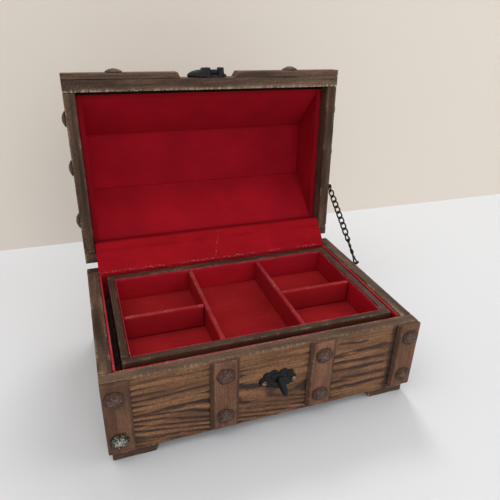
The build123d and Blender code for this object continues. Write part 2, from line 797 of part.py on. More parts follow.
def chain_nail(low):
    """A pin with a flat head that holds an end link off the board, from this height over the board."""
    pin = Cylinder(chain_pin, chain_pin_length - low, align=upright)
    head = Cylinder(chain_pin_head, chain_pin_head_thick, align=upright)
    return Pos(0, 0, low) * pin + Pos(0, 0, chain_pin_length) * head


def chain_socket():
    """The round seat in the lid's end that the chain's own end pin stands against."""
    shank = Cylinder(chain_pin, chain_pin_shank, align=(Align.CENTER, Align.CENTER, Align.MAX))
    return shank + Cylinder(chain_pin_head, chain_pin_head_thick, align=upright)


chain_lid = swung(*chain_lid_shut, -open_angle)
chain_span = math.dist(chain_base, chain_lid)


def chain_lead():
    """From a nail to the middle of the end link, whose far bend bears on the nail."""
    return chain_half_length() - chain_wire / 2 - chain_pin - chain_clearance


def chain_pitch():
    """The distance between links, so that the chain just reaches between its nails."""
    slack = chain_clearance + chain_wire
    lead_extra = slack / 2 - chain_wire / 2 - chain_pin - chain_clearance
    return (chain_span - 2 * lead_extra) / chain_links


def chain_half_length():
    """Half the length of a link's wire line, from bend to bend."""
    return (chain_pitch() + chain_wire + chain_clearance) / 2


def chain_link():
    """One oval link about its own middle: long along x, wide along y."""
    bend = chain_link_width / 2
    straight = 2 * (chain_half_length() - bend)
    ring = Plane.XZ * Pos(bend, 0) * Circle(chain_wire / 2)
    half_ring = revolve(ring, Axis.Z, 180)
    link = Pos(straight / 2, 0, 0) * Rot(0, 0, -90) * half_ring
    link += Pos(-straight / 2, 0, 0) * Rot(0, 0, 90) * half_ring
    for side in (-1, 1):
        link += Pos(0, side * bend, 0) * Rot(0, 90, 0) * Cylinder(chain_wire / 2, straight)
    return link


def chain_segments():
    """The links in pairs, taut between the two nails, each turned a quarter round from the last."""
    link = chain_link()
    along = Vector(0, chain_lid[0] - chain_base[0], chain_lid[1] - chain_base[1]).normalized()
    side = Vector(1, 0, 0).cross(along)
    segments = []
    for index in range(chain_links):
        distance = chain_lead() + index * chain_pitch()
        middle = Vector(chain_x, *chain_base) + along * distance
        facing = Vector(1, 0, 0) + side * (1 if index % 2 else -1)
        place = Plane(origin=middle, x_dir=along, z_dir=facing)
        if index % links_per_segment == 0:
            segments.append([])
        segments[-1].append(place * link)
    return segments


# All the pieces by name

pieces = {}
lid_pieces = {}

board_front, board_back, board_left, board_right, board_bottom = base_boards()
pieces["base_front_board"] = [board_front]
pieces["base_back_board"] = [board_back]
pieces["base_left_board"] = [board_left]
pieces["base_right_board"] = [board_right]
pieces["base_bottom_board"] = [board_bottom]
pieces["feet"] = [foot(side, end) for end in (-1, 1) for side in (-1, 1)]
for number, strap in enumerate(strap_footprints()):
    pieces[f"base_strap_{number + 1}"] = [base_strap(strap, base_stud_seats[number])]
    lid_pieces[f"lid_strap_{number + 1}"] = lid_strap(strap, lid_strap_stud_seats[number])
pieces["base_studs"] = [seat * stud() for seat in all_base_stud_seats]
pieces["base_lining"] = base_lining()
pieces["tray_ledges"] = tray_ledges()
for name, x in zip(("left", "right"), hinge_places):
    leaf_base, leaf_lid, pin = hinge_parts(x)
    pieces[f"hinge_base_leaf_{name}"] = [leaf_base]
    pieces.setdefault("hinge_pins", []).append(pin)
    lid_pieces[f"hinge_lid_leaf_{name}"] = [leaf_lid]
pieces["hinge_base_screws"] = [seat * screw() for seat in base_screw_seats]
lid_pieces["hinge_lid_screws"] = [seat * screw() for seat in lid_screw_seats]
pieces["latch_base_plate"] = [latch_base_plate()]
pieces["base_nails"] = [seat * small_nail() for seat in latch_nail_seats]
pieces["base_nails"].append(chain_base_seat * chain_nail(-chain_pin_shank))
pieces["turn_button"] = [turn_button()]
pieces["hinge_cloth"] = [hinge_cloth()]

wood_front, wood_back, wood_left, wood_right, wood_bottom = tray_boards()
pieces["tray_front_board"] = [wood_front]
pieces["tray_back_board"] = [wood_back]
pieces["tray_left_board"] = [wood_left]
pieces["tray_right_board"] = [wood_right]
pieces["tray_bottom"] = [wood_bottom]
pieces["tray_lining"] = tray_lining()
for name, side in (("left", -1), ("right", 1)):
    pieces[f"tray_long_divider_{name}"] = [long_divider(side)]
    pieces[f"tray_short_divider_{name}"] = [short_divider(side)]

shell_front, shell_back, shell_ends, shell_roof = lid_boards()
lid_pieces["lid_front_board"] = [shell_front]
lid_pieces["lid_back_board"] = [shell_back]
lid_pieces["lid_left_end"] = [shell_ends[-1]]
lid_pieces["lid_right_end"] = [shell_ends[1]]
for name, piece in zip(("lid_front_slope", "lid_top_board", "lid_back_slope"), shell_roof):
    lid_pieces[name] = [piece]
lid_pieces["lid_lining"] = lid_lining()
lid_pieces["lid_moulding_left"] = [moulding(left_x, moulding_left_x, moulding_stud_seats[0])]
lid_pieces["lid_moulding_right"] = [moulding(right_x, moulding_right_x, moulding_stud_seats[1])]
stud_seats = all_lid_strap_seats + moulding_stud_seats + lid_end_seats[-1] + lid_end_seats[1]
lid_pieces["lid_studs"] = [seat * stud() for seat in stud_seats]
lid_pieces["hasp_lid_plate"] = [hasp_lid_plate()]
lid_pieces["hasp_pin"] = [hasp_pin_piece()]
lid_pieces["hasp_leaf"] = [hasp_leaf_piece()]
lid_pieces["lid_nails"] = [hasp_nail_left * small_nail(hasp_nail_extra), hasp_nail_right * small_nail()]
lid_pieces["lid_nails"].append(chain_lid_seat * chain_socket())

for name, solids in lid_pieces.items():
    pieces[name] = [opened(solid) for solid in solids]
segments = chain_segments()
segments[-1].append(opened(chain_lid_seat * chain_nail(chain_pin_head_thick + chain_socket_gap)))
for number, solids in enumerate(segments):
    pieces[f"chain_{number + 1}"] = solids

boxes = [solid.bounding_box() for solids in pieces.values() for solid in solids]
middle_x = (min(box.min.X for box in boxes) + max(box.max.X for box in boxes)) / 2
middle_y = (min(box.min.Y for box in boxes) + max(box.max.Y for box in boxes)) / 2
to_origin = Pos(-middle_x, -middle_y, 0)

for name, solids in pieces.items():
    bodies = [to_origin * body for solid in solids for body in solid.solids()]
    export_step(Compound(children=bodies), f"parts/{name}.step")
print(len(pieces), "nodes, moved by", round(-middle_x, 3), round(-middle_y, 3))
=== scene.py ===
import itertools
import json
import math

import bpy
import numpy as np
from mathutils import Matrix, Vector


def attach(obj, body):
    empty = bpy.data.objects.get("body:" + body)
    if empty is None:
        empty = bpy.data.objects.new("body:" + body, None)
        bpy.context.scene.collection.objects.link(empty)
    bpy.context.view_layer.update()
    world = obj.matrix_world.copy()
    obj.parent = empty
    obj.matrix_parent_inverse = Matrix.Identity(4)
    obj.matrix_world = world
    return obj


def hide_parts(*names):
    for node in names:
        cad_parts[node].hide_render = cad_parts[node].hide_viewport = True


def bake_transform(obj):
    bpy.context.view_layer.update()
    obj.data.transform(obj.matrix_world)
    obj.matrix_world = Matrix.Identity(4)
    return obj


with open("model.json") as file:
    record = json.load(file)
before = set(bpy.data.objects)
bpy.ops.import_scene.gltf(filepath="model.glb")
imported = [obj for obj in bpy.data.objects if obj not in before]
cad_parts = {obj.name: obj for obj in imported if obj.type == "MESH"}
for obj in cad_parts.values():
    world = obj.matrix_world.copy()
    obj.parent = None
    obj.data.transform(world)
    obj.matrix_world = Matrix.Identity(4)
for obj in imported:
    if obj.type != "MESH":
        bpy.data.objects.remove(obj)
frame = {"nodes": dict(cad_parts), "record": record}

# A wooden keepsake chest with a red lining: its looks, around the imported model.
# Lengths are in millimetres until a piece is made, and metres from then on.

# Sizes that the solids have too
ORIGIN = np.array([2.55, 30.245, 0.0])
HALF_WIDTH = 120.0
BACK_Y = 80.0
PANEL_Y = -76.5
STRAP_Y = -80.0
BOARD = 9.6
RIM_Z = 71.3
FOOT_Z = 7.0
STRAP_FOOT_Z = 10.5
LID_RIM_Z = 71.7
HINGE_Y, HINGE_Z = 82.2, 72.3
OPEN = 93.15
FRONT_U = BACK_Y - PANEL_Y
MID_U = FRONT_U / 2
INNER_X = HALF_WIDTH - BOARD
LID_WALL = 18.0
ROOF = 60.0
ROOF_BOARD = 7.0
ROOF_HALF = 31.0
STRAP_THICK = 3.5
CORNER_STRAP = 20.0
STRAP_WIDTH = 23.2
STRAP_OFFSET = 37.5
MOULDING_THICK = 4.8
LATCH_X, LATCH_Z = 3.2, 43.9
INNER_FRONT_Y, INNER_BACK_Y = PANEL_Y + BOARD, BACK_Y - BOARD

# Left edge, right edge, left bevel and right bevel of each strap
STRAPS = [(-HALF_WIDTH, -HALF_WIDTH + CORNER_STRAP, 0.0, STRAP_THICK),
          (-STRAP_OFFSET - STRAP_WIDTH / 2, -STRAP_OFFSET + STRAP_WIDTH / 2, STRAP_THICK, STRAP_THICK),
          (STRAP_OFFSET - STRAP_WIDTH / 2, STRAP_OFFSET + STRAP_WIDTH / 2, STRAP_THICK, STRAP_THICK),
          (HALF_WIDTH - CORNER_STRAP, HALF_WIDTH, STRAP_THICK, 0.0)]
# The straps' inner sides from the front board's left end
STRAP_SIDES = [HALF_WIDTH + x for x in (STRAPS[0][1], *STRAPS[1][:2], *STRAPS[2][:2], STRAPS[3][0])]

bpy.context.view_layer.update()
nodes = frame["nodes"]


# Places

def base_place(points):
    """Millimetres of the base's own frame to metres of the row's frame."""
    return (points - ORIGIN) / 1000


def lid_place(points):
    """Points (x, u, v) of the shut lid, u forward of its back face and v above its rim, to metres, opened.
    The opened place is the shut one turned back about the hinge line by the opening angle."""
    y = BACK_Y - points[:, 1] - HINGE_Y
    z = LID_RIM_Z + points[:, 2] - HINGE_Z
    turn = math.radians(-OPEN)
    y, z = y * math.cos(turn) - z * math.sin(turn), y * math.sin(turn) + z * math.cos(turn)
    return base_place(np.stack([points[:, 0], HINGE_Y + y, HINGE_Z + z], axis=1))


# Fields

def field(points, seed):
    """A smooth random field from 0 to 1: a random value at each whole-numbered point,
    blended between the eight corners of each cell with the smooth step 3t^2 - 2t^3."""
    cell = np.floor(points).astype(np.int64)
    part = points - cell
    part = part * part * (3 - 2 * part)
    total = np.zeros(len(points))
    for corner in itertools.product((0, 1), repeat=3):
        at = cell + np.array(corner)
        mixed = (at[:, 0] * 73856093) ^ (at[:, 1] * 19349663) ^ (at[:, 2] * 83492791) ^ (seed * 2654435761)
        mixed = ((mixed ^ (mixed >> 13)) * 1274126177) & 0xFFFFFFFF
        value = ((mixed ^ (mixed >> 15)) & 0xFFFF) / 65535
        share = np.where(corner, part, 1 - part).prod(axis=1)
        total += value * share
    return total


def rough(points, seed, octaves=3):
    """Fields of doubled fineness and halved weight, added up and scaled to 0..1."""
    total, weight = np.zeros(len(points)), 0.0
    for octave in range(octaves):
        total += field(points * 2 ** octave, seed + octave) / 2 ** octave
        weight += 1 / 2 ** octave
    return total / weight


def spread(a, b, c, seed, octaves=2):
    """A rough field over a grid of places, from three coordinates in waves."""
    a, b, c = np.broadcast_arrays(a, b, c)
    return rough(np.stack([a.ravel(), b.ravel(), c.ravel()], axis=1), seed, octaves).reshape(a.shape)


def step(low, high, value):
    """The smooth step from 0 at low to 1 at high."""
    share = np.clip((value - low) / (high - low), 0, 1)
    return share * share * (3 - 2 * share)


# Meshes

def make_object(name, parts, body, material, replaced=()):
    """A mesh piece that rides on a body. A part is its points in metres, its groups of faces and its fields.
    The parts follow each other, and the piece has the fields that they all have."""
    faces, start = [], 0
    for points, groups, _ in parts:
        for group in groups:
            faces += (group + start).tolist()
        start += len(points)
    mesh = bpy.data.meshes.new(name)
    mesh.from_pydata(np.concatenate([points for points, _, _ in parts]).tolist(), [], faces)
    for key in parts[0][2]:
        if all(key in fields for _, _, fields in parts):
            values = np.concatenate([fields[key] for _, _, fields in parts])
            kind, target = ("FLOAT_VECTOR", "vector") if values.ndim == 2 else ("FLOAT", "value")
            attribute = mesh.attributes.new(key, kind, "POINT")
            attribute.data.foreach_set(target, values.astype(np.float32).ravel())
    mesh.shade_smooth()
    mesh.materials.append(material)
    piece = bpy.data.objects.new(name, mesh)
    bpy.context.scene.collection.objects.link(piece)
    if body:
        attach(piece, body)
    if replaced:
        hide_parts(*replaced)
    return piece


def quads(*corners):
    """Four-sided faces from four grids of point numbers."""
    return np.stack(corners, axis=-1).reshape(-1, 4)


def left_handed(points, mover):
    """True if the three directions from the first point to the others are left-handed once in place."""
    ends = mover(np.array(points))
    return np.linalg.det(ends[1:] - ends[0]) < 0


# How far an edge is rounded
EDGE = 1.0


def spaced(length, pitch, edge):
    """Places along a side: a few close together in the rounded ends, even ones between."""
    count = max(2, int(round((length - 2 * edge) / pitch)) + 1)
    ends = edge * np.array([0, 0.15, 0.4, 0.7])
    return np.concatenate([ends, np.linspace(edge, length - edge, count), length - ends[::-1]])


def lattice(counts):
    """The surface points of a box-shaped lattice as index triples, and its outward quads."""
    sides = [(axis, end, tuple(end if k == axis else slice(None) for k in range(3)))
             for axis in range(3) for end in (0, -1)]
    shell = np.zeros(counts, dtype=bool)
    for _, _, side in sides:
        shell[side] = True
    number = -np.ones(counts, dtype=np.int64)
    number[shell] = np.arange(shell.sum())
    faces = []
    for axis, end, side in sides:
        grid = number[side]
        outward = (end == -1) == (axis != 1)
        side_quads = quads(grid[:-1, :-1], grid[1:, :-1], grid[1:, 1:], grid[:-1, 1:])
        faces.append(side_quads if outward else side_quads[:, ::-1])
    return np.argwhere(shell), np.concatenate(faces)


def carved(sides, place, pitch, depth, seed, mirrored=False, edge=EDGE, free=None, lips=()):
    """A board: a box of three side lengths with rounded edges and a relief, put in its place by a function.
    A point is held inside the box shrunk by the edge radius, then moved out by that radius along the line
    to it, which rounds the edges. It is then moved in along that line by the relief's depth there.
    sides run along the grain, across it and through the board. place takes points in those lengths.
    free names the one end across the board, 0 or 1, that shows wear, where the others are hidden.
    lips names long edges that are rubbed all along: the ends across and through the board, and how much."""
    sides = np.array(sides, float)
    places = [spaced(length, step_, edge) for length, step_ in zip(sides, pitch)]
    index, faces = lattice([len(p) for p in places])
    local = np.stack([places[k][index[:, k]] for k in range(3)], axis=1)
    held = np.clip(local, edge, sides - edge)
    away = local - held
    away /= np.linalg.norm(away, axis=1)[:, None]
    rounded = held + away * edge
    if free is None:
        border = np.sort(np.minimum(local, sides - local), axis=1)[:, 1]
    else:
        border = sides[1] - local[:, 1] if free else local[:, 1]
    inward, relief = depth(local, away, seed)
    wear = rough(local / 9.0 + seed, seed + 50)
    near_edge = np.exp(-(border / (0.4 + 1.1 * wear)) ** 2)
    worn = near_edge * step(0.35, 0.75, wear)
    for across, through, strength in lips:
        off = np.hypot(local[:, 1] - across * sides[1], local[:, 2] - through * sides[2])
        worn = np.maximum(worn, strength * np.exp(-(off / (1.0 + 1.2 * wear)) ** 2))
    rounded -= away * (inward + min(0.35, 0.7 * edge) * near_edge * rough(local / 3.0, seed + 70))[:, None]
    grain = (local + np.array([37.0, 61.0, 13.0]) * (seed % 17)) / 1000
    fields = {"grain": grain, "relief": relief, "worn": worn,
              "edge": np.exp(-(border / 1.2) ** 2), "outer": step(0.5, 0.95, away[:, 2])}
    return place(rounded), [faces[:, ::-1] if mirrored else faces], fields


def corner_grid(at):
    """Eight corners from a function of their ends: [i][j][k] is i along, j across and k through a board."""
    return np.array([[[at(i, j, k) for k in (0, 1)] for j in (0, 1)] for i in (0, 1)], float)


def block(low, high, along, across):
    """The eight corners of an upright box, with named axes along and across the grain."""
    axes = [along, across, 3 - along - across]
    return corner_grid(lambda *ends: [(low, high)[ends[axes.index(axis)]][axis] for axis in range(3)])


def board(corners, mover, pitch, depth, seed, **finish):
    """A carved board that blends its eight corners, its sides as long as its corners lie apart."""
    start = corners[0, 0, 0]
    far = corners[1, 0, 0], corners[0, 1, 0], corners[0, 0, 1]
    sides = np.array([np.linalg.norm(corner - start) for corner in far])

    def place(local):
        share = np.stack([1 - local / sides, local / sides])
        total = np.zeros_like(local)
        for i, j, k in itertools.product((0, 1), repeat=3):
            total += (share[i, :, 0] * share[j, :, 1] * share[k, :, 2])[:, None] * corners[i, j, k]
        return mover(total)
    return carved(sides, place, pitch, depth, seed, left_handed([start, *far], mover), **finish)


# Reliefs: how far the surface lies in, and how deep in its troughs it is from 0 to 1, at points of a board

def deep_relief(local, away, seed, height=None, pitch=5.6, sway=1.0):
    """Soft wood burnt and brushed out between its hard lines. A wave across the grain is bent by two slow
    fields. Its troughs are as deep as a stretched field and the nearest strap's edge let them. Finer waves on
    the same bends and fibres lie on top, short dabs break them up, and only the deepest places are burnt.
    It fades off the outer face."""
    height = local[:, 1] if height is None else height
    bend = rough(local / (95.0, 24.0, 60.0) + seed, seed)
    swirl = rough(local / (34.0, 9.0, 60.0) + seed, seed + 9)
    phase = height / pitch + sway * (3.0 * bend + 1.5 * swirl)
    wave = 0.5 - 0.5 * np.cos(2 * np.pi * phase)
    lift = rough(local / (34.0, 5.0, 40.0), seed + 17, 2)
    dab = rough(local / (6.5, 1.7, 9.0), seed + 61)
    near = np.exp(-np.min([np.abs(local[:, 0] - place) for place in STRAP_SIDES], axis=0) / 6.0)
    low = 1 - 0.35 * step(0.55, 0.9, local[:, 1] / local[:, 1].max())
    amount = np.clip(0.15 + 1.15 * step(0.30, 0.74, lift) + 0.30 * near, 0, 1) * low * (0.55 + 0.9 * dab)
    trough = wave ** 1.25 * np.clip(amount, 0, 1.2)
    line = 0.5 - 0.5 * np.cos(2 * np.pi * (2.3 * phase + 2.4 * lift))
    fibre = rough(local / (14.0, 0.7, 3.0), seed + 31, 2)
    burn = step(0.60, 0.95, wave * low * (0.16 + 0.60 * lift + 0.28 * near + 0.64 * dab))
    face = np.clip(away[:, 2], 0, 1) ** 2
    inward = 0.80 * trough + 0.16 * line * (1 - trough) + 0.25 * burn + 0.18 * fibre
    relief = 0.60 * trough + 0.22 * line * (1 - trough) + 0.40 * burn
    return face * inward + (1 - face) * 0.2 * fibre, face * relief + (1 - face) * 0.5 * fibre


# Scorched lines on the front board: start and end along it, height at both, half width, strength
SCORCHES = [(20, 71, 30.0, 31.0, 1.2, 1.0), (38, 62, 30.2, 31.2, 1.9, 1.0),
            (96, 117, 31.6, 34.5, 0.9, 0.9), (124, 145, 22.0, 21.0, 0.9, 0.7),
            (20, 52, 8.5, 5.0, 1.0, 0.8), (96, 112, 15.0, 13.5, 0.8, 0.6),
            (168, 200, 56.5, 53.5, 1.3, 0.9), (169, 196, 46.0, 47.5, 1.0, 0.7),
            (185, 219, 46.5, 47.0, 1.5, 1.0), (169, 220, 38.0, 36.0, 1.7, 1.0),
            (170, 221, 30.5, 29.5, 1.8, 1.0), (172, 222, 22.0, 20.5, 1.7, 0.9),
            (173, 194, 12.5, 12.0, 1.6, 0.9)]
# Where along the front board its combing grows wide
WIDE_FROM = 147.0, 167.0


def front_relief(local, away, seed):
    """The deep relief, whose lines fall to the right in the lower left and comb wider on the right, with
    scorched lines. Each is a bell across, fading at its ends, on a slowly waving height. The right strap's
    shadow on the board beside it is painted there as a darker bell across too, which also sinks a little."""
    x, z = local[:, 0], local[:, 1]
    wide = step(*WIDE_FROM, x)
    height = z + 0.20 * (x - 20) * (1 - wide) * step(44, 16, z)
    inward, relief = deep_relief(local, away, seed, height, 4.7 + 3.8 * wide, 0.45)
    face = np.clip(away[:, 2], 0, 1) ** 2
    wander = rough(local / (16.0, 40.0, 40.0), seed + 23) - 0.5
    patch = rough(local / (7.0, 2.2, 9.0), seed + 27)
    for x0, x1, z0, z1, width, strength in SCORCHES:
        share = np.clip((x - x0) / (x1 - x0), 0, 1)
        off = (z - z0 - (z1 - z0) * share - 2.0 * wander) / (width * (0.5 + 1.2 * patch))
        ends = step(0, 0.15, share) * step(1, 0.8, share) if x0 > 21 else step(1.0, 0.9, share)
        burn = strength * ends * np.exp(-off ** 2) * face
        inward = inward + 0.5 * burn
        relief = np.maximum(relief, (0.50 + 0.7 * patch) * burn)
    # Painted shadow: the right strap's shadow on the board, made dark through the relief
    strap_shadow = np.exp(-((x - STRAP_SIDES[-1]) / (1.6 + 3.0 * patch)) ** 2) * face
    return inward + 0.2 * strap_shadow, np.maximum(relief, (0.6 + 0.5 * patch) * strap_shadow)


def fine_relief(local, away, seed):
    """Fibres along the grain and a slow waviness, on every face."""
    fibre = rough(local / (18.0, 0.8, 0.8), seed + 31, 2)
    line = rough(local / (60.0, 2.2, 2.2), seed + 5, 2)
    return 0.16 * fibre + 0.16 * line, 0.5 * step(0.45, 0.8, line) + 0.3 * fibre


def plain_relief(local, away, seed):
    """Only a slight unevenness, for card."""
    uneven = rough(local / 12.0, seed + 3, 2)
    return 0.12 * uneven, uneven


# Materials

class Value:
    """A node socket that can be added to, multiplied and so on, each time with a Math node."""

    def __init__(self, finish, socket):
        self.finish = finish
        self.socket = socket

    def math(self, operation, *others, swap=False):
        inputs = (*others, self) if swap else (self, *others)
        return self.finish.node("ShaderNodeMath", {"operation": operation}, dict(enumerate(inputs)))

    def __add__(self, other):
        return self.math("ADD", other)

    def __sub__(self, other):
        return self.math("SUBTRACT", other)

    def __mul__(self, other):
        return self.math("MULTIPLY", other)

    def __radd__(self, other):
        return self.math("ADD", other, swap=True)

    def __rsub__(self, other):
        return self.math("SUBTRACT", other, swap=True)

    def __rmul__(self, other):
        return self.math("MULTIPLY", other, swap=True)

    def climb(self, low, high):
        """A straight climb from 0 at low to 1 at high."""
        ends = {"From Min": low, "From Max": high, "To Min": 0.0, "To Max": 1.0}
        return self.finish.node("ShaderNodeMapRange", {"clamp": True}, {"Value": self, **ends})

    def clamped(self):
        return self.climb(0.0, 1.0)


class Finish:
    """A material under construction."""

    def __init__(self, name):
        self.material = bpy.data.materials.new(name)
        self.material.use_nodes = True
        self.tree = self.material.node_tree
        self.tree.nodes.clear()
        self.shader = self.tree.nodes.new("ShaderNodeBsdfPrincipled")
        out = self.tree.nodes.new("ShaderNodeOutputMaterial")
        self.tree.links.new(self.shader.outputs[0], out.inputs[0])

    def feed(self, socket, value):
        if isinstance(value, Value):
            self.tree.links.new(value.socket, socket)
        elif socket.type == "RGBA" and len(value) == 3:
            socket.default_value = (*value, 1.0)
        else:
            socket.default_value = value

    def node(self, kind, settings, inputs, output=0):
        """Adds a node: its settings first, then the values or links of its sockets, by name or number."""
        made = self.tree.nodes.new(kind)
        for key, value in settings.items():
            setattr(made, key, value)
        for key, value in inputs.items():
            self.feed(made.inputs[key], value)
        return Value(self, made.outputs[output])

    def attribute(self, name, output="Fac"):
        return self.node("ShaderNodeAttribute", {"attribute_name": name}, {}, output)

    def own_place(self):
        return self.node("ShaderNodeTexCoord", {}, {}, "Object")

    def noise(self, place, scale, detail=3.0, roughness=0.55):
        """Noise with a number of waves a metre, or three of them along the three axes."""
        if isinstance(scale, tuple):
            place, scale = self.node("ShaderNodeMapping", {}, {"Vector": place, "Scale": scale}), 1.0
        return self.node("ShaderNodeTexNoise", {},
                         {"Vector": place, "Scale": scale, "Detail": detail, "Roughness": roughness}, "Fac")

    def mix(self, share, first, second):
        """A blend of two colours."""
        return self.node("ShaderNodeMix", {"data_type": "RGBA"}, {0: share, 6: first, 7: second}, 2)

    def bump(self, height, distance, strength=1.0):
        return self.node("ShaderNodeBump", {}, {"Height": height, "Distance": distance, "Strength": strength})

    def set(self, **sockets):
        """Sets or links the shader's sockets, with _ for a space in a name."""
        for key, value in sockets.items():
            self.feed(self.shader.inputs[key.replace("_", " ")], value)
        return self.material


def wooden_colour(f, grain, relief, tones, scorched):
    """Streaks along the grain between two tones, dark fibres and pores, and scorched troughs."""
    light, mid, dark, scorch = tones
    broad = f.noise(grain, (12.0, 110.0, 110.0), 4.0)
    fibre = f.noise(grain, (60.0, 1100.0, 1100.0))
    pore = f.noise(grain, (420.0, 2400.0, 2400.0), 1.0)
    speck = f.noise(grain, 1100.0, 3.0, 0.6)
    patch = f.noise(grain, 60.0)
    blotch = f.noise(grain, (18.0, 55.0, 55.0), 3.0, 0.6)
    colour = f.mix(broad.climb(0.34, 0.66), light, mid)
    colour = f.mix(fibre.climb(0.42, 0.72) * 0.6, colour, dark)
    colour = f.mix(pore.climb(0.55, 0.68) * 0.5, colour, scorch)
    colour = f.mix(speck.climb(0.48, 0.34) * 0.65, colour, light)
    colour = f.mix(speck.climb(0.52, 0.66) * 0.60, colour, scorch)
    colour = f.mix(blotch.climb(0.47, 0.64) * 0.55, colour, dark)
    colour = f.mix(relief.climb(0.10, 0.56) * 0.92 * scorched, colour, dark)
    burnt = (relief.climb(0.48, 0.92) * (0.45 + patch * 0.9)).clamped()
    return f.mix(burnt * scorched, colour, scorch), fibre * 0.5 + speck * 0.4 + broad * 0.3 - pore * 0.4


def rubbed_edge(f, grain, wear):
    """Where an edge is rubbed to bare wood: small flecks and short bars across the grain."""
    fleck = f.noise(grain, 1100.0, 2.0).climb(0.50, 0.58)
    bar = f.noise(grain, (700.0, 90.0, 90.0), 1.0).climb(0.54, 0.62)
    return (f.attribute("worn") * (fleck * 0.8 + bar * 0.6) * wear).clamped()


def wood(name, tones, pale, scorched, wear, shine, rim_tones=None):
    """Wood with fibres along the board's grain. rim_tones are for every side but the outer face."""
    f = Finish(name)
    grain = f.attribute("grain", "Vector")
    relief = f.attribute("relief")
    colour, height = wooden_colour(f, grain, relief, tones, scorched)
    if rim_tones:
        outer = f.attribute("outer")
        rim_colour, _ = wooden_colour(f, grain, relief, rim_tones, 0.5)
        colour = f.mix(outer, rim_colour, colour)
    rubbed = rubbed_edge(f, grain, wear)
    colour = f.mix(rubbed, colour, pale)
    return f.set(Base_Color=colour, Roughness=shine + 0.2 * height + 0.15 * rubbed,
                 Normal=f.bump(height, 0.0005, 0.8), Specular_IOR_Level=0.16)


def flock(name, deep, bright, edge_tone, fleck_tone, wear=0.5, fleck_share=0.0):
    """Flocked card: a matt red with faint clouds and fine pile, a toned free edge and rubbed flecks."""
    f = Finish(name)
    grain = f.attribute("grain", "Vector")
    cloud = f.noise(grain, 22.0, 4.0, 0.6)
    pile = f.noise(grain, 1500.0)
    weave = f.noise(grain, (90.0, 700.0, 90.0), 2.0)
    colour = f.mix((cloud * 0.75 + weave * 0.25).climb(0.38, 0.62), deep, bright)
    fleck = f.noise(grain, 330.0).climb(0.715, 0.74)
    colour = f.mix(fleck * fleck_share, colour, fleck_tone)
    border = (f.attribute("edge") * (0.45 + 0.5 * pile)).clamped()
    colour = f.mix(border, colour, edge_tone)
    rubbed = (f.attribute("worn") * f.noise(grain, 800.0, 2.0).climb(0.52, 0.64) * wear).clamped()
    colour = f.mix(rubbed, colour, fleck_tone)
    return f.set(Base_Color=colour, Roughness=0.86 + 0.1 * pile, Normal=f.bump(pile, 0.0002, 0.5),
                 Specular_IOR_Level=0.04)


def metal(name, dark, bright, rust, metallic, low_rough, high_rough):
    """Cast metal in Object coordinates, mottled."""
    f = Finish(name)
    place = f.own_place()
    mottle = f.noise(place, 420.0, 4.0)
    fine = f.noise(place, 2200.0, 2.0)
    colour = f.mix(mottle.climb(0.4, 0.66), dark, bright)
    colour = f.mix(f.noise(place, 170.0).climb(0.5, 0.66) * 0.6, colour, rust)
    return f.set(Base_Color=colour, Metallic=metallic, Roughness=low_rough + (high_rough - low_rough) * mottle,
                 Normal=f.bump(mottle * 0.7 + fine * 0.3, 0.0003, 0.7), Specular_IOR_Level=0.3)


def hammered(name):
    """Painted copper nails: dull brown in the dents, with painted shade round the dome's foot, coppery on high
    spots as rubbed paint with pale painted highlights there, and one rubbed to bare metal.
    """
    f = Finish(name)
    grain = f.attribute("grain", "Vector")
    high = f.attribute("relief")
    bare = f.attribute("outer")
    mottle = f.noise(grain, 620.0, 4.0)
    spots = f.noise(grain, 1200.0, 2.0).climb(0.54, 0.64)
    colour = f.mix(mottle.climb(0.38, 0.62), (0.034, 0.017, 0.014), (0.100, 0.050, 0.036))
    # Painted shade: only the higher relief is lifted, so the dome's foot, where the relief falls to nothing,
    # stays dark
    colour = f.mix(high.climb(0.45, 0.9) * 0.6, colour, (0.165, 0.092, 0.066))
    # Painted highlights on rubbed copper: pale specks on the high spots
    colour = f.mix(spots * high.climb(0.25, 0.7) * 0.7, colour, (0.46, 0.34, 0.27))
    fine = f.noise(grain, 1500.0)
    silver = f.mix((high * 0.35 + fine * 0.9).climb(0.58, 0.78), (0.026, 0.020, 0.016), (0.70, 0.68, 0.60))
    colour = f.mix(bare, colour, silver)
    return f.set(Base_Color=colour, Metallic=0.15 + 0.5 * bare, Roughness=0.50 + 0.2 * mottle,
                 Normal=f.bump(mottle + spots * 0.5, 0.0005, 0.9), Specular_IOR_Level=0.25)


PANEL_TONES = (0.370, 0.184, 0.083), (0.200, 0.094, 0.046), (0.078, 0.035, 0.020), (0.038, 0.028, 0.025)
STRAP_TONES = (0.255, 0.125, 0.070), (0.160, 0.075, 0.042), (0.082, 0.037, 0.022), (0.036, 0.017, 0.012)
# Painted shade: darker tones for every side of a strap but its face, the bevels above all
BEVEL_SHADE_TONES = (0.150, 0.070, 0.040), (0.100, 0.047, 0.027), (0.052, 0.024, 0.015), (0.022, 0.012, 0.009)
RIM_TONES = (0.180, 0.108, 0.066), (0.078, 0.042, 0.027), (0.034, 0.017, 0.011), (0.012, 0.008, 0.006)
LID_RIM_TONES = (0.225, 0.140, 0.088), (0.100, 0.056, 0.038), (0.042, 0.022, 0.015), (0.015, 0.010, 0.008)
TRAY_TONES = (0.115, 0.063, 0.039), (0.062, 0.033, 0.021), (0.028, 0.014, 0.010), (0.010, 0.006, 0.005)
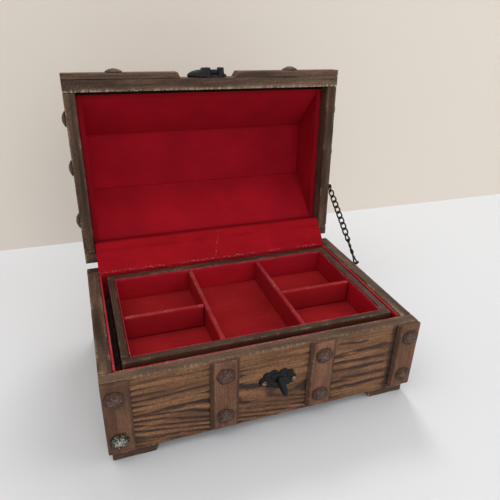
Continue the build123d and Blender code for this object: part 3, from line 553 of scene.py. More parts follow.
# Painted shade: near black for the tray boards' outer sides, which face the shaded gap round the tray
TRAY_SIDE_SHADE_TONES = (0.014, 0.007, 0.010), (0.010, 0.005, 0.008), (0.007, 0.004, 0.007), (0.004, 0.003, 0.005)
RED_WOOD_TONES = (0.120, 0.048, 0.026), (0.085, 0.034, 0.019), (0.050, 0.020, 0.012), (0.020, 0.009, 0.006)
BARE_WOOD, PALE_WOOD = (0.30, 0.21, 0.135), (0.44, 0.34, 0.23)

panel_wood = wood("panel_wood", PANEL_TONES, BARE_WOOD, 1.0, 0.9, 0.5, RIM_TONES)
# The straps' bevels and sides have painted shade
strap_finish = wood("strap_wood", STRAP_TONES, BARE_WOOD, 0.45, 0.8, 0.5, BEVEL_SHADE_TONES)
# The front's straps are copies of one wood scaled darker or lighter, from left to right, as painted shade and
# light
front_strap_shaded_finishes = [
    wood(f"front_strap_shaded_wood_{number + 1}", [tuple(share * part for part in tone) for tone in STRAP_TONES],
         BARE_WOOD, 0.45, 0.8, 0.5, BEVEL_SHADE_TONES) for number, share in enumerate((0.84, 1.0, 1.24, 0.96))]
rim_wood = wood("rim_wood", RIM_TONES, PALE_WOOD, 0.6, 0.9, 0.52)
lid_rim_wood = wood("lid_rim_wood", LID_RIM_TONES, PALE_WOOD, 0.6, 0.9, 0.52)
# The tray's side boards have painted shade on their outer sides
tray_finish = wood("tray_wood", TRAY_SIDE_SHADE_TONES, BARE_WOOD, 0.5, 0.9, 0.5, TRAY_TONES)
tray_front_finish = wood("tray_front_wood", RED_WOOD_TONES, BARE_WOOD, 0.5, 0.9, 0.5, TRAY_TONES)
CARD_EDGE, CARD_FLECK = (0.36, 0.032, 0.050), (0.66, 0.36, 0.30)
red_card = flock("red_card", (0.305, 0.0070, 0.0138), (0.402, 0.0088, 0.0178), CARD_EDGE, CARD_FLECK)
red_lid = flock("red_lid", (0.278, 0.0060, 0.0130), (0.372, 0.0074, 0.0162), (0.228, 0.0052, 0.0110),
                CARD_FLECK, 0.0)
red_floor = flock("red_floor", (0.278, 0.0112, 0.0145), (0.375, 0.0165, 0.0198), CARD_EDGE,
                  CARD_FLECK, 0.3, 0.25)
red_divider = flock("red_divider", (0.255, 0.0070, 0.0115), (0.315, 0.0100, 0.0155), (0.33, 0.030, 0.036),
                    CARD_FLECK, 0.55)
# The cloth's edge tone is painted shade, for the darker band near its top
red_cloth = flock("red_cloth", (0.288, 0.0050, 0.0110), (0.372, 0.0074, 0.0140), (0.24, 0.0036, 0.007),
                  (0.74, 0.46, 0.42), 1.0, 0.15)
nail_metal = hammered("nail_metal")
small_nail_metal = metal("small_nail_metal", (0.16, 0.09, 0.065), (0.56, 0.38, 0.30), (0.1, 0.05, 0.035),
                         0.6, 0.3, 0.5)
black_iron = metal("black_iron", (0.0040, 0.0040, 0.0050), (0.0140, 0.0140, 0.0170), (0.008, 0.007, 0.008),
                   0.2, 0.42, 0.62)
chain_metal = metal("chain_metal", (0.008, 0.006, 0.005), (0.034, 0.025, 0.018), (0.02, 0.012, 0.008),
                    0.5, 0.40, 0.60)
steel = metal("steel", (0.20, 0.19, 0.17), (0.36, 0.34, 0.31), (0.16, 0.11, 0.08), 0.9, 0.35, 0.55)


# Wooden pieces

# Distances between points along the grain, across it and through the board
FINE, WALL_PITCH, FRONT_PITCH, TRAY_PITCH = (2.4, 1.2, 1.2), (2.4, 1.0, 1.6), (1.1, 0.42, 1.6), (2.0, 1.0, 0.8)
FOOT_PITCH, STRAP_PITCH, LID_STRAP_PITCH = (1.6, 1.0, 1.6), (1.4, 0.6, 0.9), (1.8, 1.0, 1.2)
LID_FRONT_PITCH, ROOF_PITCH, END_PITCH = (1.6, 1.0, 1.0), (1.6, 0.7, 2.0), (1.8, 1.2, 1.6)
MOULDING_PITCH, DIVIDER_PITCH = (2.0, 0.9, 0.9), (2.0, 1.5, 0.8)
# How far the edges of pieces are rounded
FOOT_EDGE, STRAP_EDGE, LID_STRAP_EDGE, LID_EDGE = 0.8, 1.2, 0.9, 0.3
TRAY_EDGE, TRAY_FLOOR_EDGE, TRAY_CARD_EDGE, DIVIDER_EDGE = 0.7, 0.2, 0.4, 1.9


def wooden(node, body, material, parts):
    make_object("wood_" + node, parts, body, material, [node])


# The front board's outer face is at low y, so its corners run from the inside out
front = block((-HALF_WIDTH, INNER_FRONT_Y, FOOT_Z), (HALF_WIDTH, PANEL_Y, RIM_Z), 0, 2)
wooden("base_front_board", "base", panel_wood,
       [board(front, base_place, FRONT_PITCH, front_relief, 3, lips=((1, 0, 1.3), (1, 1, 0.9)))])
for name, low, high, along, seed in (
        ("base_back_board", (-HALF_WIDTH, INNER_BACK_Y, FOOT_Z), (HALF_WIDTH, BACK_Y, RIM_Z), 0, 5),
        ("base_left_board", (-INNER_X, INNER_FRONT_Y, FOOT_Z), (-HALF_WIDTH, INNER_BACK_Y, RIM_Z), 1, 7),
        ("base_right_board", (INNER_X, INNER_FRONT_Y, FOOT_Z), (HALF_WIDTH, INNER_BACK_Y, RIM_Z), 1, 9)):
    wooden(name, "base", rim_wood,
           [board(block(low, high, along, 2), base_place, WALL_PITCH, fine_relief, seed)])

FOOT_LENGTH, FOOT_DEPTH, FOOT_SLANT, FOOT_SIDE, FOOT_FRONT = 33.0, 30.0, 2.5, 2.3, 1.0


def foot_corners(side, end):
    """Corners on the table and under the boards, with the inner ends slanting."""
    outer_x = side * (HALF_WIDTH - FOOT_SIDE)
    outer_y = PANEL_Y + FOOT_FRONT if end < 0 else BACK_Y - FOOT_FRONT
    slant = FOOT_SLANT, 0
    return corner_grid(lambda i, j, k: (outer_x - side * (FOOT_LENGTH - slant[j]) * i,
                                        outer_y - end * (FOOT_DEPTH - slant[j]) * (1 - k), FOOT_Z * j))


wooden("feet", "base", rim_wood,
       [board(foot_corners(side, end), base_place, FOOT_PITCH, fine_relief, 13 + number, edge=FOOT_EDGE)
        for number, (side, end) in enumerate(itertools.product((-1, 1), (-1, 1)))])


def strap_corners(footprint, low, high):
    """Corners of a strap between two ends, each a (foot point, top point) pair of (second, third) coordinates.
    It runs along its grain from low to high, and its bevels narrow it from the foot to the top."""
    x0, x1, left, right = footprint
    return corner_grid(lambda i, j, k: (x1 - right * k if j else x0 + left * k, *(low, high)[i][k]))


for number, footprint in enumerate(STRAPS):
    low, high = (((PANEL_Y, z), (STRAP_Y, z)) for z in (STRAP_FOOT_Z, RIM_Z))
    wooden(f"base_strap_{number + 1}", "base", front_strap_shaded_finishes[number],
           [board(strap_corners(footprint, low, high), base_place, STRAP_PITCH, fine_relief, 20 + number,
                  edge=STRAP_EDGE)])


def facets(middle, low, high):
    """The four corner points (u, v) of three facets, front to back, from (half width, height) pairs."""
    return [(middle + low[0], low[1]), (middle + high[0], high[1]),
            (middle - high[0], high[1]), (middle - low[0], low[1])]


def roof_outline(out):
    """The roof's corner points, each facet moved out square to itself."""
    run, rise = MID_U - ROOF_HALF, ROOF - LID_WALL
    slope = math.hypot(run, rise)
    foot_u = MID_U + out * rise / slope
    foot_v = LID_WALL + out * run / slope
    half = foot_u - (ROOF + out - foot_v) * run / rise
    return facets(MID_U, (foot_u, foot_v), (half, ROOF + out))


def inner_roof_u(v):
    """How far the roof's inner side is from the middle at a height."""
    low, high = roof_outline(-ROOF_BOARD)[:2]
    return low[0] + (high[0] - low[0]) * (v - low[1]) / (high[1] - low[1]) - MID_U


def facet_corners(under, over, facet, reach):
    """A board on one facet, between lines of points (u, v) under and over it, that reaches to either side."""
    return corner_grid(lambda i, j, k: ((-reach, reach)[i], *(under, over)[k][facet + j]))


roof_foot, roof_over = roof_outline(0), roof_outline(STRAP_THICK)
roof_ends = list(zip(roof_foot, roof_over))
for number, footprint in enumerate(STRAPS):
    wooden(f"lid_strap_{number + 1}", "lid", strap_finish,
           [board(strap_corners(footprint, *roof_ends[facet:facet + 2]), lid_place, LID_STRAP_PITCH,
                  fine_relief, 30 + number + 3 * facet, edge=LID_STRAP_EDGE) for facet in range(3)])


def lid_board(node, corners, material, depth, seed, pitch=FINE, slot="board_wood", **finish):
    wooden(node, "lid", material, [board(corners, lid_place, pitch, depth, seed, **finish)])


lid_board("lid_front_board", block((-HALF_WIDTH, FRONT_U - BOARD, 0), (HALF_WIDTH, FRONT_U, LID_WALL), 0, 2),
          lid_rim_wood, fine_relief, 41, LID_FRONT_PITCH, free=1, lips=((0, 0, 1.4),), edge=LID_EDGE)
lid_board("lid_back_board", block((-HALF_WIDTH, 0, 0), (HALF_WIDTH, BOARD, LID_WALL), 0, 2),
          rim_wood, fine_relief, 43)

top_v = ROOF - ROOF_BOARD
top_half = inner_roof_u(top_v)
roof_under = facets(MID_U, (inner_roof_u(LID_WALL), LID_WALL), (top_half, top_v))
for facet, name in enumerate(("lid_front_slope", "lid_top_board", "lid_back_slope")):
    lid_board(name, facet_corners(roof_under, roof_foot, facet, HALF_WIDTH), panel_wood, deep_relief,
              45 + facet, ROOF_PITCH)

# The lid's ends: a board whose width follows the roof above its shoulder
end_half = MID_U - BOARD
shoulder = roof_outline(-ROOF_BOARD)[0]
lean = (MID_U + top_half - shoulder[0]) / (top_v - shoulder[1])
shoulder_v = shoulder[1] + (MID_U + end_half - shoulder[0]) / lean
END_SIDES = (2 * end_half, top_v, BOARD)
for side, name in ((-1, "lid_left_end"), (1, "lid_right_end")):

    def end_place(local, side=side):
        """The half width is whole up to the shoulder, then falls straight to the roof's."""
        v = local[:, 1]
        width = end_half + (top_half - end_half) * np.clip((v - shoulder_v) / (top_v - shoulder_v), 0, 1)
        u = MID_U + (2 * local[:, 0] / END_SIDES[0] - 1) * width
        return lid_place(np.stack([side * (INNER_X + local[:, 2]), u, v], axis=1))
    wooden(name, "lid", rim_wood,
           [carved(END_SIDES, end_place, END_PITCH, fine_relief, 51 + side, side > 0)])

MOULDING_HEIGHT, MOULDING_BEVEL = 16.0, 2.5
for side, gap_x, name in ((-1, -26.0, "lid_moulding_left"), (1, 22.0, "lid_moulding_right")):
    corners = corner_grid(lambda i, j, k: (
        side * HALF_WIDTH if i else gap_x + side * MOULDING_BEVEL * k, FRONT_U + MOULDING_THICK * k,
        MOULDING_HEIGHT * j - MOULDING_BEVEL * j * k))
    lid_board(name, corners, lid_rim_wood, fine_relief, 61 + side, MOULDING_PITCH, "strap_wood",
              free=1, edge=LID_EDGE)


# Lining

def carded(name, body, mover, cards, replaced, material=red_card, edge=0.6, seed=80, pitch=(2.5, 2.5, 1.0)):
    """Cards between eight corners each, with rounded edges, and the end of each that shows its edge.
    The first of plain red cards is a floor, which shows none."""
    parts = [board(corners, mover, pitch, plain_relief, seed + number, edge=edge, free=free)
             for number, (corners, free) in enumerate(cards)]
    if material is red_card:
        for key in ("edge", "worn"):
            parts[0][2][key][:] = 0
    make_object(name, parts, body, material, replaced)


def wall_cards(x0, x1, y0, y1, low, top, card, side_end):
    """Upright cards on four walls: front and back ones, and side ones from the front one to side_end."""
    return [(block((x0, y0, low), (x1, y0 + card, top), 0, 2), 1),
            (block((x0, y1 - card, low), (x1, y1, top), 0, 2), 1),
            (block((x0, y0 + card, low), (x0 + card, side_end, top), 1, 2), 1),
            (block((x1 - card, y0 + card, low), (x1, side_end, top), 1, 2), 1)]


CARD = 2.0
FLOOR_Z = 12.0
CARD_DROP, SIDE_CARD_GAP = 1.0, 0.4
CLOTH_GAP, CLOTH_SOLID = 0.05, 0.9
CLOTH_FRONT_Y = INNER_BACK_Y - CARD - CLOTH_GAP - CLOTH_SOLID
base_walls = wall_cards(-INNER_X, INNER_X, INNER_FRONT_Y, INNER_BACK_Y, FLOOR_Z + CARD, RIM_Z - CARD_DROP, CARD,
                        CLOTH_FRONT_Y - SIDE_CARD_GAP)
# How much lower still the front card's top lies at its left and right ends
FRONT_CARD_DROPS = 0.2, 0.75
for end, drop in enumerate(FRONT_CARD_DROPS):
    base_walls[0][0][end, 1, :, 2] -= drop
base_floor = block((-INNER_X, INNER_FRONT_Y, FLOOR_Z), (INNER_X, INNER_BACK_Y, FLOOR_Z + CARD), 0, 1)
carded("card_base_lining", "base", base_place, [(base_floor, 0), *base_walls], ["base_lining"])

# The lid's lining: three facets over two end cards, a little off the lid's middle.
# Its half widths at its rim and at its top follow from those of the boards.
LINING_SHIFT, LINING_RIM_GAP, LINING_TOP_GAP = 1.25, 6.75, 5.5
LINING_MID = MID_U + LINING_SHIFT
LINING_LOW, LINING_HIGH = MID_U - BOARD - LINING_RIM_GAP, ROOF_HALF - LINING_TOP_GAP
LINING_DEPTH, LINING_TOP = 12.0, 51.0
END_CARD = 4.4
REACH = INNER_X - 0.1
run, rise = LINING_LOW - LINING_HIGH, LINING_TOP - LINING_DEPTH
outward = CARD * math.hypot(run, rise) / rise
inside = facets(LINING_MID, (LINING_LOW, LINING_DEPTH), (LINING_HIGH, LINING_TOP))
outside = facets(LINING_MID, (LINING_LOW + outward, LINING_DEPTH),
                 (LINING_HIGH + outward - CARD * run / rise, LINING_TOP + CARD))
END_ORDER = (3, 2), (0, 1)
lining_cards = [(facet_corners(inside, outside, facet, REACH), free)
                for facet, free in ((1, 0), (0, 0), (2, 1))]
lining_cards += [(corner_grid(lambda i, j, k: (side * (REACH - END_CARD * k), *inside[END_ORDER[i][j]])), 0)
                 for side in (-1, 1)]
carded("card_lid_lining", "lid", lid_place, lining_cards, ["lid_lining"], red_lid, LID_EDGE, 120)

# Tray
TRAY_DROP, TRAY_FOOT_DROP = 0.5, 26.5
TRAY_TOP, TRAY_FOOT = RIM_Z - TRAY_DROP, RIM_Z - TRAY_FOOT_DROP
TRAY_BOARD, TRAY_BOTTOM, TRAY_CARD = 6.0, 2.4, 1.0
GAP_LEFT, GAP_RIGHT, GAP_FRONT, GAP_BACK = 4.4, 1.8, 4.9, 6.4
TX0, TX1 = -INNER_X + CARD + GAP_LEFT, INNER_X - CARD - GAP_RIGHT
TY0, TY1 = INNER_FRONT_Y + CARD + GAP_FRONT, INNER_BACK_Y - CARD - GAP_BACK
IX0, IX1, IY0, IY1 = TX0 + TRAY_BOARD, TX1 - TRAY_BOARD, TY0 + TRAY_BOARD, TY1 - TRAY_BOARD
TRAY_FLOOR = TRAY_FOOT + TRAY_BOTTOM + TRAY_CARD
for name, low, high, along, finish, seed in (
        ("tray_front_board", (TX0, IY0, TRAY_FOOT), (TX1, TY0, TRAY_TOP), 0, tray_front_finish, 86),
        ("tray_back_board", (TX0, IY1, TRAY_FOOT), (TX1, TY1, TRAY_TOP), 0, tray_finish, 85),
        ("tray_left_board", (IX0, IY0, TRAY_FOOT), (TX0, IY1, TRAY_TOP), 1, tray_finish, 86),
        ("tray_right_board", (IX1, IY0, TRAY_FOOT), (TX1, IY1, TRAY_TOP), 1, tray_finish, 87)):
    wooden(name, "tray", finish,
           [board(block(low, high, along, 2), base_place, TRAY_PITCH, fine_relief, seed, edge=TRAY_EDGE)])


def tray_floor(top):
    """A card on the tray's bottom, and the end that it shows."""
    return block((IX0, IY0, TRAY_FLOOR - TRAY_CARD), (IX1, IY1, top), 0, 1), 0


# The floor that shows is the upper of two, and the lower one comes with the walls
LOWER_FLOOR, TRAY_CARD_DROP = 0.4, 0.6
tray_walls = wall_cards(IX0, IX1, IY0, IY1, TRAY_FLOOR, TRAY_TOP - TRAY_CARD_DROP, TRAY_CARD, IY1 - TRAY_CARD)
carded("card_tray_floor", "tray", base_place, [tray_floor(TRAY_FLOOR)], [], red_floor, TRAY_FLOOR_EDGE, 88)
carded("card_tray_lining", "tray", base_place, [tray_floor(TRAY_FLOOR - LOWER_FLOOR), *tray_walls],
       ["tray_lining"], edge=TRAY_CARD_EDGE, seed=90)

HALF_DIVIDER, DIVIDER_DROP = 2.0, 1.6
DIVIDER_TOP = TRAY_TOP - DIVIDER_DROP
# The long dividers' distance from the tray's middle, and the short ones' towards its front
LONG_OFFSET, SHORT_OFFSET = 32.208, 4.0
SHORT_Y = (TY0 + TY1) / 2 - SHORT_OFFSET


def divider(name, low, high, along, seed):
    """A card that stands on the tray's floor, its top rounded right over."""
    carded("card_" + name, "tray", base_place,
           [(block((*low, TRAY_FLOOR), (*high, DIVIDER_TOP), along, 2), 1)], [name], red_divider,
           DIVIDER_EDGE, seed, DIVIDER_PITCH)


for side, word in ((-1, "left"), (1, "right")):
    x = (TX0 + TX1) / 2 + side * LONG_OFFSET
    divider(f"tray_long_divider_{word}", (x - HALF_DIVIDER, IY0 + TRAY_CARD),
            (x + HALF_DIVIDER, IY1 - TRAY_CARD), 1, 100 + side)
    x0, x1 = sorted((x + side * HALF_DIVIDER, IX1 - TRAY_CARD if side > 0 else IX0 + TRAY_CARD))
    divider(f"tray_short_divider_{word}", (x0, SHORT_Y - HALF_DIVIDER),
            (x1, SHORT_Y + HALF_DIVIDER), 0, 110 + side)


# Hinge cloth

# Its line seen from the side as (y, z), how far along it the fold and the lid's lining are, and half its width
CLOTH_LINE = np.array([(67.9, 43.3), (67.9, 71.1), (85.29, 92.06), (93.76, 89.49)])
CLOTH_FOLD, CLOTH_HIGH = 27.8, 55.0
CLOTH_X, CLOTH_THICK = INNER_X - 0.4, 0.8
CRACK_REACH = 9


def softened(line, radius, pitch):
    """A bent line as points at an even pitch, each inner corner cut by a quadratic curve of this reach."""
    points = [line[0]]
    for before, corner, after in zip(line, line[1:], line[2:]):
        start = corner + (before - corner) / np.linalg.norm(before - corner) * radius
        end = corner + (after - corner) / np.linalg.norm(after - corner) * radius
        t = np.linspace(0, 1, 9)[:, None]
        points += list((1 - t) ** 2 * start + 2 * t * (1 - t) * corner + t * t * end)
    points = np.array(points + [line[-1]])
    length = np.concatenate([[0], np.cumsum(np.linalg.norm(np.diff(points, axis=0), axis=1))])
    at = np.linspace(0, length[-1], int(length[-1] / pitch) + 1)
    return np.stack([np.interp(at, length, points[:, k]) for k in (0, 1)], axis=1), at


def cloth():
    """A sheet along a bent line and across the chest, moved square to itself by a slow field with creases
    along the hinge, and given its thickness as a second sheet joined to it round the border.
    It is worn along its fold, down one crack and in a faint line before the fold, and darker in a patchy
    band near its top, which is painted shade."""
    line, at = softened(CLOTH_LINE, 1.6, 0.7)
    middle = np.linspace(-CRACK_REACH, CRACK_REACH, 73)
    across = np.concatenate([np.linspace(-CLOTH_X, -CRACK_REACH, 92)[:-1], middle,
                             np.linspace(CRACK_REACH, CLOTH_X, 92)[1:]])
    slope = np.gradient(line, axis=0)
    normal = np.stack([-slope[:, 1], slope[:, 0]], axis=1) / np.linalg.norm(slope, axis=1)[:, None]
    s, x = np.meshgrid(at, across, indexing="ij")
    crease = spread(x / 70, s / 7.0, 0, 301)
    ripple = spread(x / 70 * 3.0, s / 7.0 * 0.6, 0, 305)
    free = step(CLOTH_FOLD, CLOTH_FOLD + 6, s) * step(CLOTH_HIGH + 2, CLOTH_HIGH - 5, s)
    lift = free * (1.5 * (crease - 0.5) + 0.7 * (ripple - 0.5))
    place = np.concatenate([x[..., None], line[:, None] + normal[:, None] * lift[..., None]], axis=-1)
    thick = np.zeros_like(place)
    thick[..., 1:] = normal[:, None] * CLOTH_THICK / 2
    count = s.size
    number = np.arange(count).reshape(s.shape)
    sheet = quads(number[:-1, :-1], number[:-1, 1:], number[1:, 1:], number[1:, :-1])
    border = np.concatenate([number[0, :], number[1:, -1], number[-1, -2::-1], number[-2:0:-1, 0]])
    after = np.roll(border, -1)
    faces = [sheet[:, ::-1] + count, sheet, quads(border, border + count, after + count, after)]
    points = np.concatenate([(place - thick).reshape(-1, 3), (place + thick).reshape(-1, 3)])
    wander = spread(x / 6, 0, 0, 311) - 0.5
    patchy = step(0.3, 0.6, spread(x / 14, s / 30, 0, 313))
    worn = np.exp(-((s - CLOTH_FOLD - 1.0 * wander) / 0.45) ** 2) * (0.08 + 0.55 * patchy)
    worn += 0.4 * np.exp(-((s - CLOTH_FOLD + 2.6 - 1.2 * wander) / 0.35) ** 2) * (1 - patchy)
    part = np.clip((s - CLOTH_FOLD) / (CLOTH_HIGH - CLOTH_FOLD), 0, 1)
    crack_x = -4.5 + 9.5 * part + 0.8 * np.sin(11 * part)
    broken = step(0.35, 0.55, spread(s / 2.2, 0, 0, 317))
    worn += 0.75 * broken * np.exp(-((x - crack_x) / 0.22) ** 2) * step(0.0, 0.1, part) * step(1.0, 0.9, part)
    # Painted shade: a darker patchy band a little below the lid's lining, carried in the edge field
    edge = 0.8 * np.exp(-((s - CLOTH_HIGH + 7.5 - 2.0 * wander) / 1.6) ** 2) * patchy
    grain = np.stack([x, s, np.zeros_like(x)], axis=-1).reshape(-1, 3) / 1000
    fields = {"grain": np.concatenate([grain, grain]), "worn": np.tile(np.clip(worn, 0, 1).ravel(), 2),
              "edge": np.tile(edge.ravel(), 2)}
    return (base_place(points), faces, fields), at[-1]


cloth_part, cloth_length = cloth()
hinge_cloth = make_object("sheet_hinge_cloth", [cloth_part], None, red_cloth, ["hinge_cloth"])
cloth_length / 1000
hinge_start, hinge_end = base_place(np.array([[0, *CLOTH_LINE[1]], [0, *CLOTH_LINE[2]]]))


# Domed nails

# Directions of a seat: two across it and one out
ON_FRONT = (1, 0, 0), (0, 0, 1), (0, -1, 0)
ON_LID_FRONT = (1, 0, 0), (0, 0, 1), (0, 1, 0)
ON_RIGHT = (0, 1, 0), (0, 0, 1), (1, 0, 0)


def capped(low, rings, high, seat, mover):
    """A closed surface over rings of points (ring, around, xyz), with a middle point under the first ring and
    one over the last. seat is an origin, two directions across and one out. Returns the points as given and
    in place, and the groups of faces, turned outwards."""
    count, around = rings.shape[:2]
    local = np.concatenate([[low], rings.reshape(-1, 3), [high]])
    number = 1 + np.arange(count * around).reshape(count, around)
    turn = np.roll(number, -1, axis=1)
    groups = [quads(number[:-1], turn[:-1], turn[1:], number[1:]),
              np.stack([np.zeros(around, int), turn[0], number[0]], axis=1),
              np.stack([np.full(around, len(local) - 1), number[-1], turn[-1]], axis=1)]
    origin, first, second, out = (np.array(v, float) for v in seat)
    world = mover(origin + local[:, :1] * first + local[:, 1:2] * second + local[:, 2:] * out)
    if left_handed([origin, origin + first, origin + second, origin + out], mover):
        groups = [group[:, ::-1] for group in groups]
    return local, world, groups


def plain_fields(local, shift=0.0):
    return {"grain": local / 1000 + shift, "relief": np.zeros(len(local)), "outer": np.zeros(len(local))}


def turned(profile, around, seat, mover, seed=0, dents=0.0, bare=0.0, wave=0.0):
    """A shape turned about a seat's axis: (radius, height) points from the bottom's middle to the top's,
    each inner one a ring. A fine field pushes the rings along the axis by the dents' depth, and another
    waves the outline."""
    profile = np.array(profile, float)
    rings = profile[1:-1]
    angle = np.arange(around) * 2 * np.pi / around
    radius, height = (rings[:, k, None] * np.ones(around) for k in (0, 1))
    a, b, c = radius * np.cos(angle), radius * np.sin(angle), seed * 3.7
    coarse = np.abs(2 * spread(a / 2.1, b / 2.1, c / 2.1, seed + 400) - 1)
    fine = spread(a / 0.9, b / 0.9, c / 0.9, seed + 410)
    petals = 0.5 + 0.5 * np.cos(7 * angle + seed) * np.clip(radius / 4, 0, 1)
    dent = 0.8 * (0.65 * (1 - coarse) + 0.35 * fine) + 0.2 * petals
    upper = np.clip(height / max(rings[:, 1].max(), 1e-6), 0, 1)
    height = height + dents * (dent - 0.6) * upper
    swell = 1 + wave * (spread(np.cos(angle) * 2.2 + seed, np.sin(angle) * 2.2, 0, seed + 420, 1) - 0.5)
    local, world, groups = capped((0, 0, profile[0, 1]), np.stack([a * swell, b * swell, height], axis=-1),
                                  (0, 0, profile[-1, 1] + dents * (dent[-1].mean() - 0.6)), seat, mover)
    # The relief is nothing at the foot and rises with height; the domed nails' finish paints shade where it is
    # low
    return world, groups, {"grain": local / 1000 + seed * 0.013,
                           "relief": np.concatenate([[0], (dent * upper).ravel(), [0.8]]),
                           "outer": np.full(len(local), bare)}


STUD_RADIUS, STUD_EDGE, STUD_RISE, STUD_INSET = 6.5, 0.7, 2.1, 12.2
STUD_PROFILE = [(0, 0), (STUD_RADIUS - 0.3, 0), (STUD_RADIUS, 0.25), (STUD_RADIUS, STUD_EDGE)]
STUD_PROFILE += [(STUD_RADIUS * r * 0.985, STUD_EDGE + STUD_RISE * (1 - r * r))
                 for r in np.linspace(1, 0.06, 15)]
STUD_PROFILE += [(0, STUD_EDGE + STUD_RISE)]
LID_STUD_INSET = 15.0
MOULDING_STUDS = -79.0, 74.7
# The stay chain has the place of the rear one on the right
LID_END_STUDS = [(-1, u) for u in (39.0, 86.0, 126.0)] + [(1, u) for u in (86.0, 126.0)]
LID_END_STUD_V = 8.0
BARE_STUD = 1


def strap_middle(footprint):
    x0, x1, left, right = footprint
    return (x0 + left + x1 - right) / 2


def studs(name, body, mover, seats, seed, bare=None):
    """Domed nails on seats, each with its own dents, and one rubbed to bare metal."""
    make_object(name, [turned(STUD_PROFILE, 48, seat, mover, seed + number, 1.5, float(number == bare), 0.14)
                       for number, seat in enumerate(seats)],
                body, nail_metal, [name[len("nails_"):]])


studs("nails_base_studs", "base", base_place,
      [((strap_middle(footprint), STRAP_Y, z), *ON_FRONT) for footprint in STRAPS
       for z in (RIM_Z - STUD_INSET, STRAP_FOOT_Z + STUD_INSET)], 200, BARE_STUD)
seats = []
for footprint, facet in itertools.product(STRAPS, range(3)):
    low, high = np.array(roof_over[facet]), np.array(roof_over[facet + 1])
    along = (high - low) / np.linalg.norm(high - low)
    for end in (low + along * LID_STUD_INSET, high - along * LID_STUD_INSET):
        seats.append(((strap_middle(footprint), *end), (1, 0, 0), (0, *along), (0, along[1], -along[0])))
seats += [((x, FRONT_U + MOULDING_THICK, MOULDING_HEIGHT / 2), *ON_LID_FRONT) for x in MOULDING_STUDS]
seats += [((side * HALF_WIDTH, u, LID_END_STUD_V), (0, 1, 0), (0, 0, 1), (side, 0, 0))
          for side, u in LID_END_STUDS]
studs("nails_lid_studs", "lid", lid_place, seats, 230)


# Latch

def cast_plate(lobes, centre_height, thick, boss, nails, seat, mover, seed):
    """A cast plate over a union of round lobes. Its outline is how far a ray from the middle runs inside any
    lobe. Its height falls off to a rounded border, rises in a bead a little way inside it and over the boss,
    and dips round the nails; a fine field roughens it."""
    lobes = np.array(lobes, float)
    around, rings = 200, 30
    angle = np.arange(around) * 2 * np.pi / around
    ray = np.stack([np.cos(angle), np.sin(angle)], axis=1)
    centre = lobes[:, :2] - np.array([0, centre_height])
    along = ray @ centre.T
    inside = lobes[:, 2] ** 2 - (centre ** 2).sum(axis=1) + along ** 2
    reach = np.where(inside > 0, along + np.sqrt(np.maximum(inside, 0)), 0).max(axis=1)
    share = np.concatenate([[1.0], 1 - np.linspace(0.0, 0.97, rings) ** 1.3])
    a = share[:, None] * reach * ray[:, 0]
    b = share[:, None] * reach * ray[:, 1] + centre_height
    depth = (lobes[:, 2] - np.hypot(a[..., None] - lobes[:, 0], b[..., None] - lobes[:, 1])).max(axis=-1)
    depth = np.maximum(depth, 0)
    height = thick * (1 - np.exp(-(depth + 0.05) / 0.35)) + 0.55 * np.exp(-((depth - 1.1) / 0.45) ** 2)
    top_x, top_y, radius, extra = boss
    away = np.hypot(a - top_x, b - top_y) - radius
    height += extra * step(0.6, -1.6, away) + 0.3 * np.exp(-((away + 1.9) / 0.5) ** 2)
    for x, y in nails:
        height -= 0.7 * np.exp(-(np.hypot(a - x, b - y) / 2.0) ** 4)
    height += 0.35 * (spread(a / 1.5, b / 1.5, 0, seed, 3) - 0.5) * (depth > 0.3)
    height[0] = 0
    local, world, groups = capped((0, centre_height, 0), np.stack([a, b, height], axis=-1),
                                  (0, centre_height, height[-1].mean()), seat, mover)
    return world, groups, plain_fields(local)


def cast_relief(local, away, seed):
    """A fine cast roughness."""
    uneven = rough(local / 1.6, seed, 3)
    return 0.22 * uneven, uneven


# Lobes of the plates: across, up and radius of each, on one side of the middle
HALF_PLATE, END_LOBE = 14.7, 4.1
NAIL_X, NAIL_UP, MIDDLE_LOBE = HALF_PLATE - 3.1, -1.0, (0.0, -1.4, 7.3)
SIDE_LOBES = (HALF_PLATE - END_LOBE, NAIL_UP, END_LOBE), (6.6, -2.2, 4.6), (4.1, 5.3, 3.3), (9.0, 3.8, 3.1)
plate_lobes = [MIDDLE_LOBE]
plate_lobes += [(sign * across, up, radius) for sign in (-1, 1) for across, up, radius in SIDE_LOBES]
LEAN = math.radians(-4)
plate_seat = ((LATCH_X, PANEL_Y, LATCH_Z - 0.3), (math.cos(LEAN), 0, math.sin(LEAN)),
              (-math.sin(LEAN), 0, math.cos(LEAN)), (0, -1, 0))
base_plate = cast_plate(plate_lobes, -0.4, 1.5, (0, 0.3, 6.4, 1.15), [(-NAIL_X, NAIL_UP), (NAIL_X, NAIL_UP)],
                        plate_seat, base_place, 500)
make_object("cast_latch_base_plate", [base_plate], "base", black_iron, ["latch_base_plate"])

# The wing's two ends: how far out, low edge, high edge, half thickness
WING_OUT, WING_REACH = 5.2, 10.8
WING_ENDS = (WING_OUT, -2.6, 6.8, 2.6), (WING_OUT + WING_REACH, -3.9, -0.1, 1.5)
wing_corners = corner_grid(lambda i, j, k: (
    LATCH_X + (2 * k - 1) * WING_ENDS[i][3], PANEL_Y - WING_ENDS[i][0], LATCH_Z + WING_ENDS[i][1 + j]))
wing = board(wing_corners, base_place, (0.6, 0.6, 0.6), cast_relief, 520, edge=1.3)
NECK = [(0, 0.3), (2.4, 0.3), (2.4, WING_OUT), (2.9, WING_OUT + 0.1), (3.0, WING_OUT + 0.8),
        (2.2, WING_OUT + 1.3), (0, WING_OUT + 1.4)]
neck = turned(NECK, 32, ((LATCH_X, PANEL_Y, LATCH_Z), *ON_FRONT), base_place)
make_object("cast_turn_button", [wing, neck], "turn_button", black_iron, ["turn_button"])

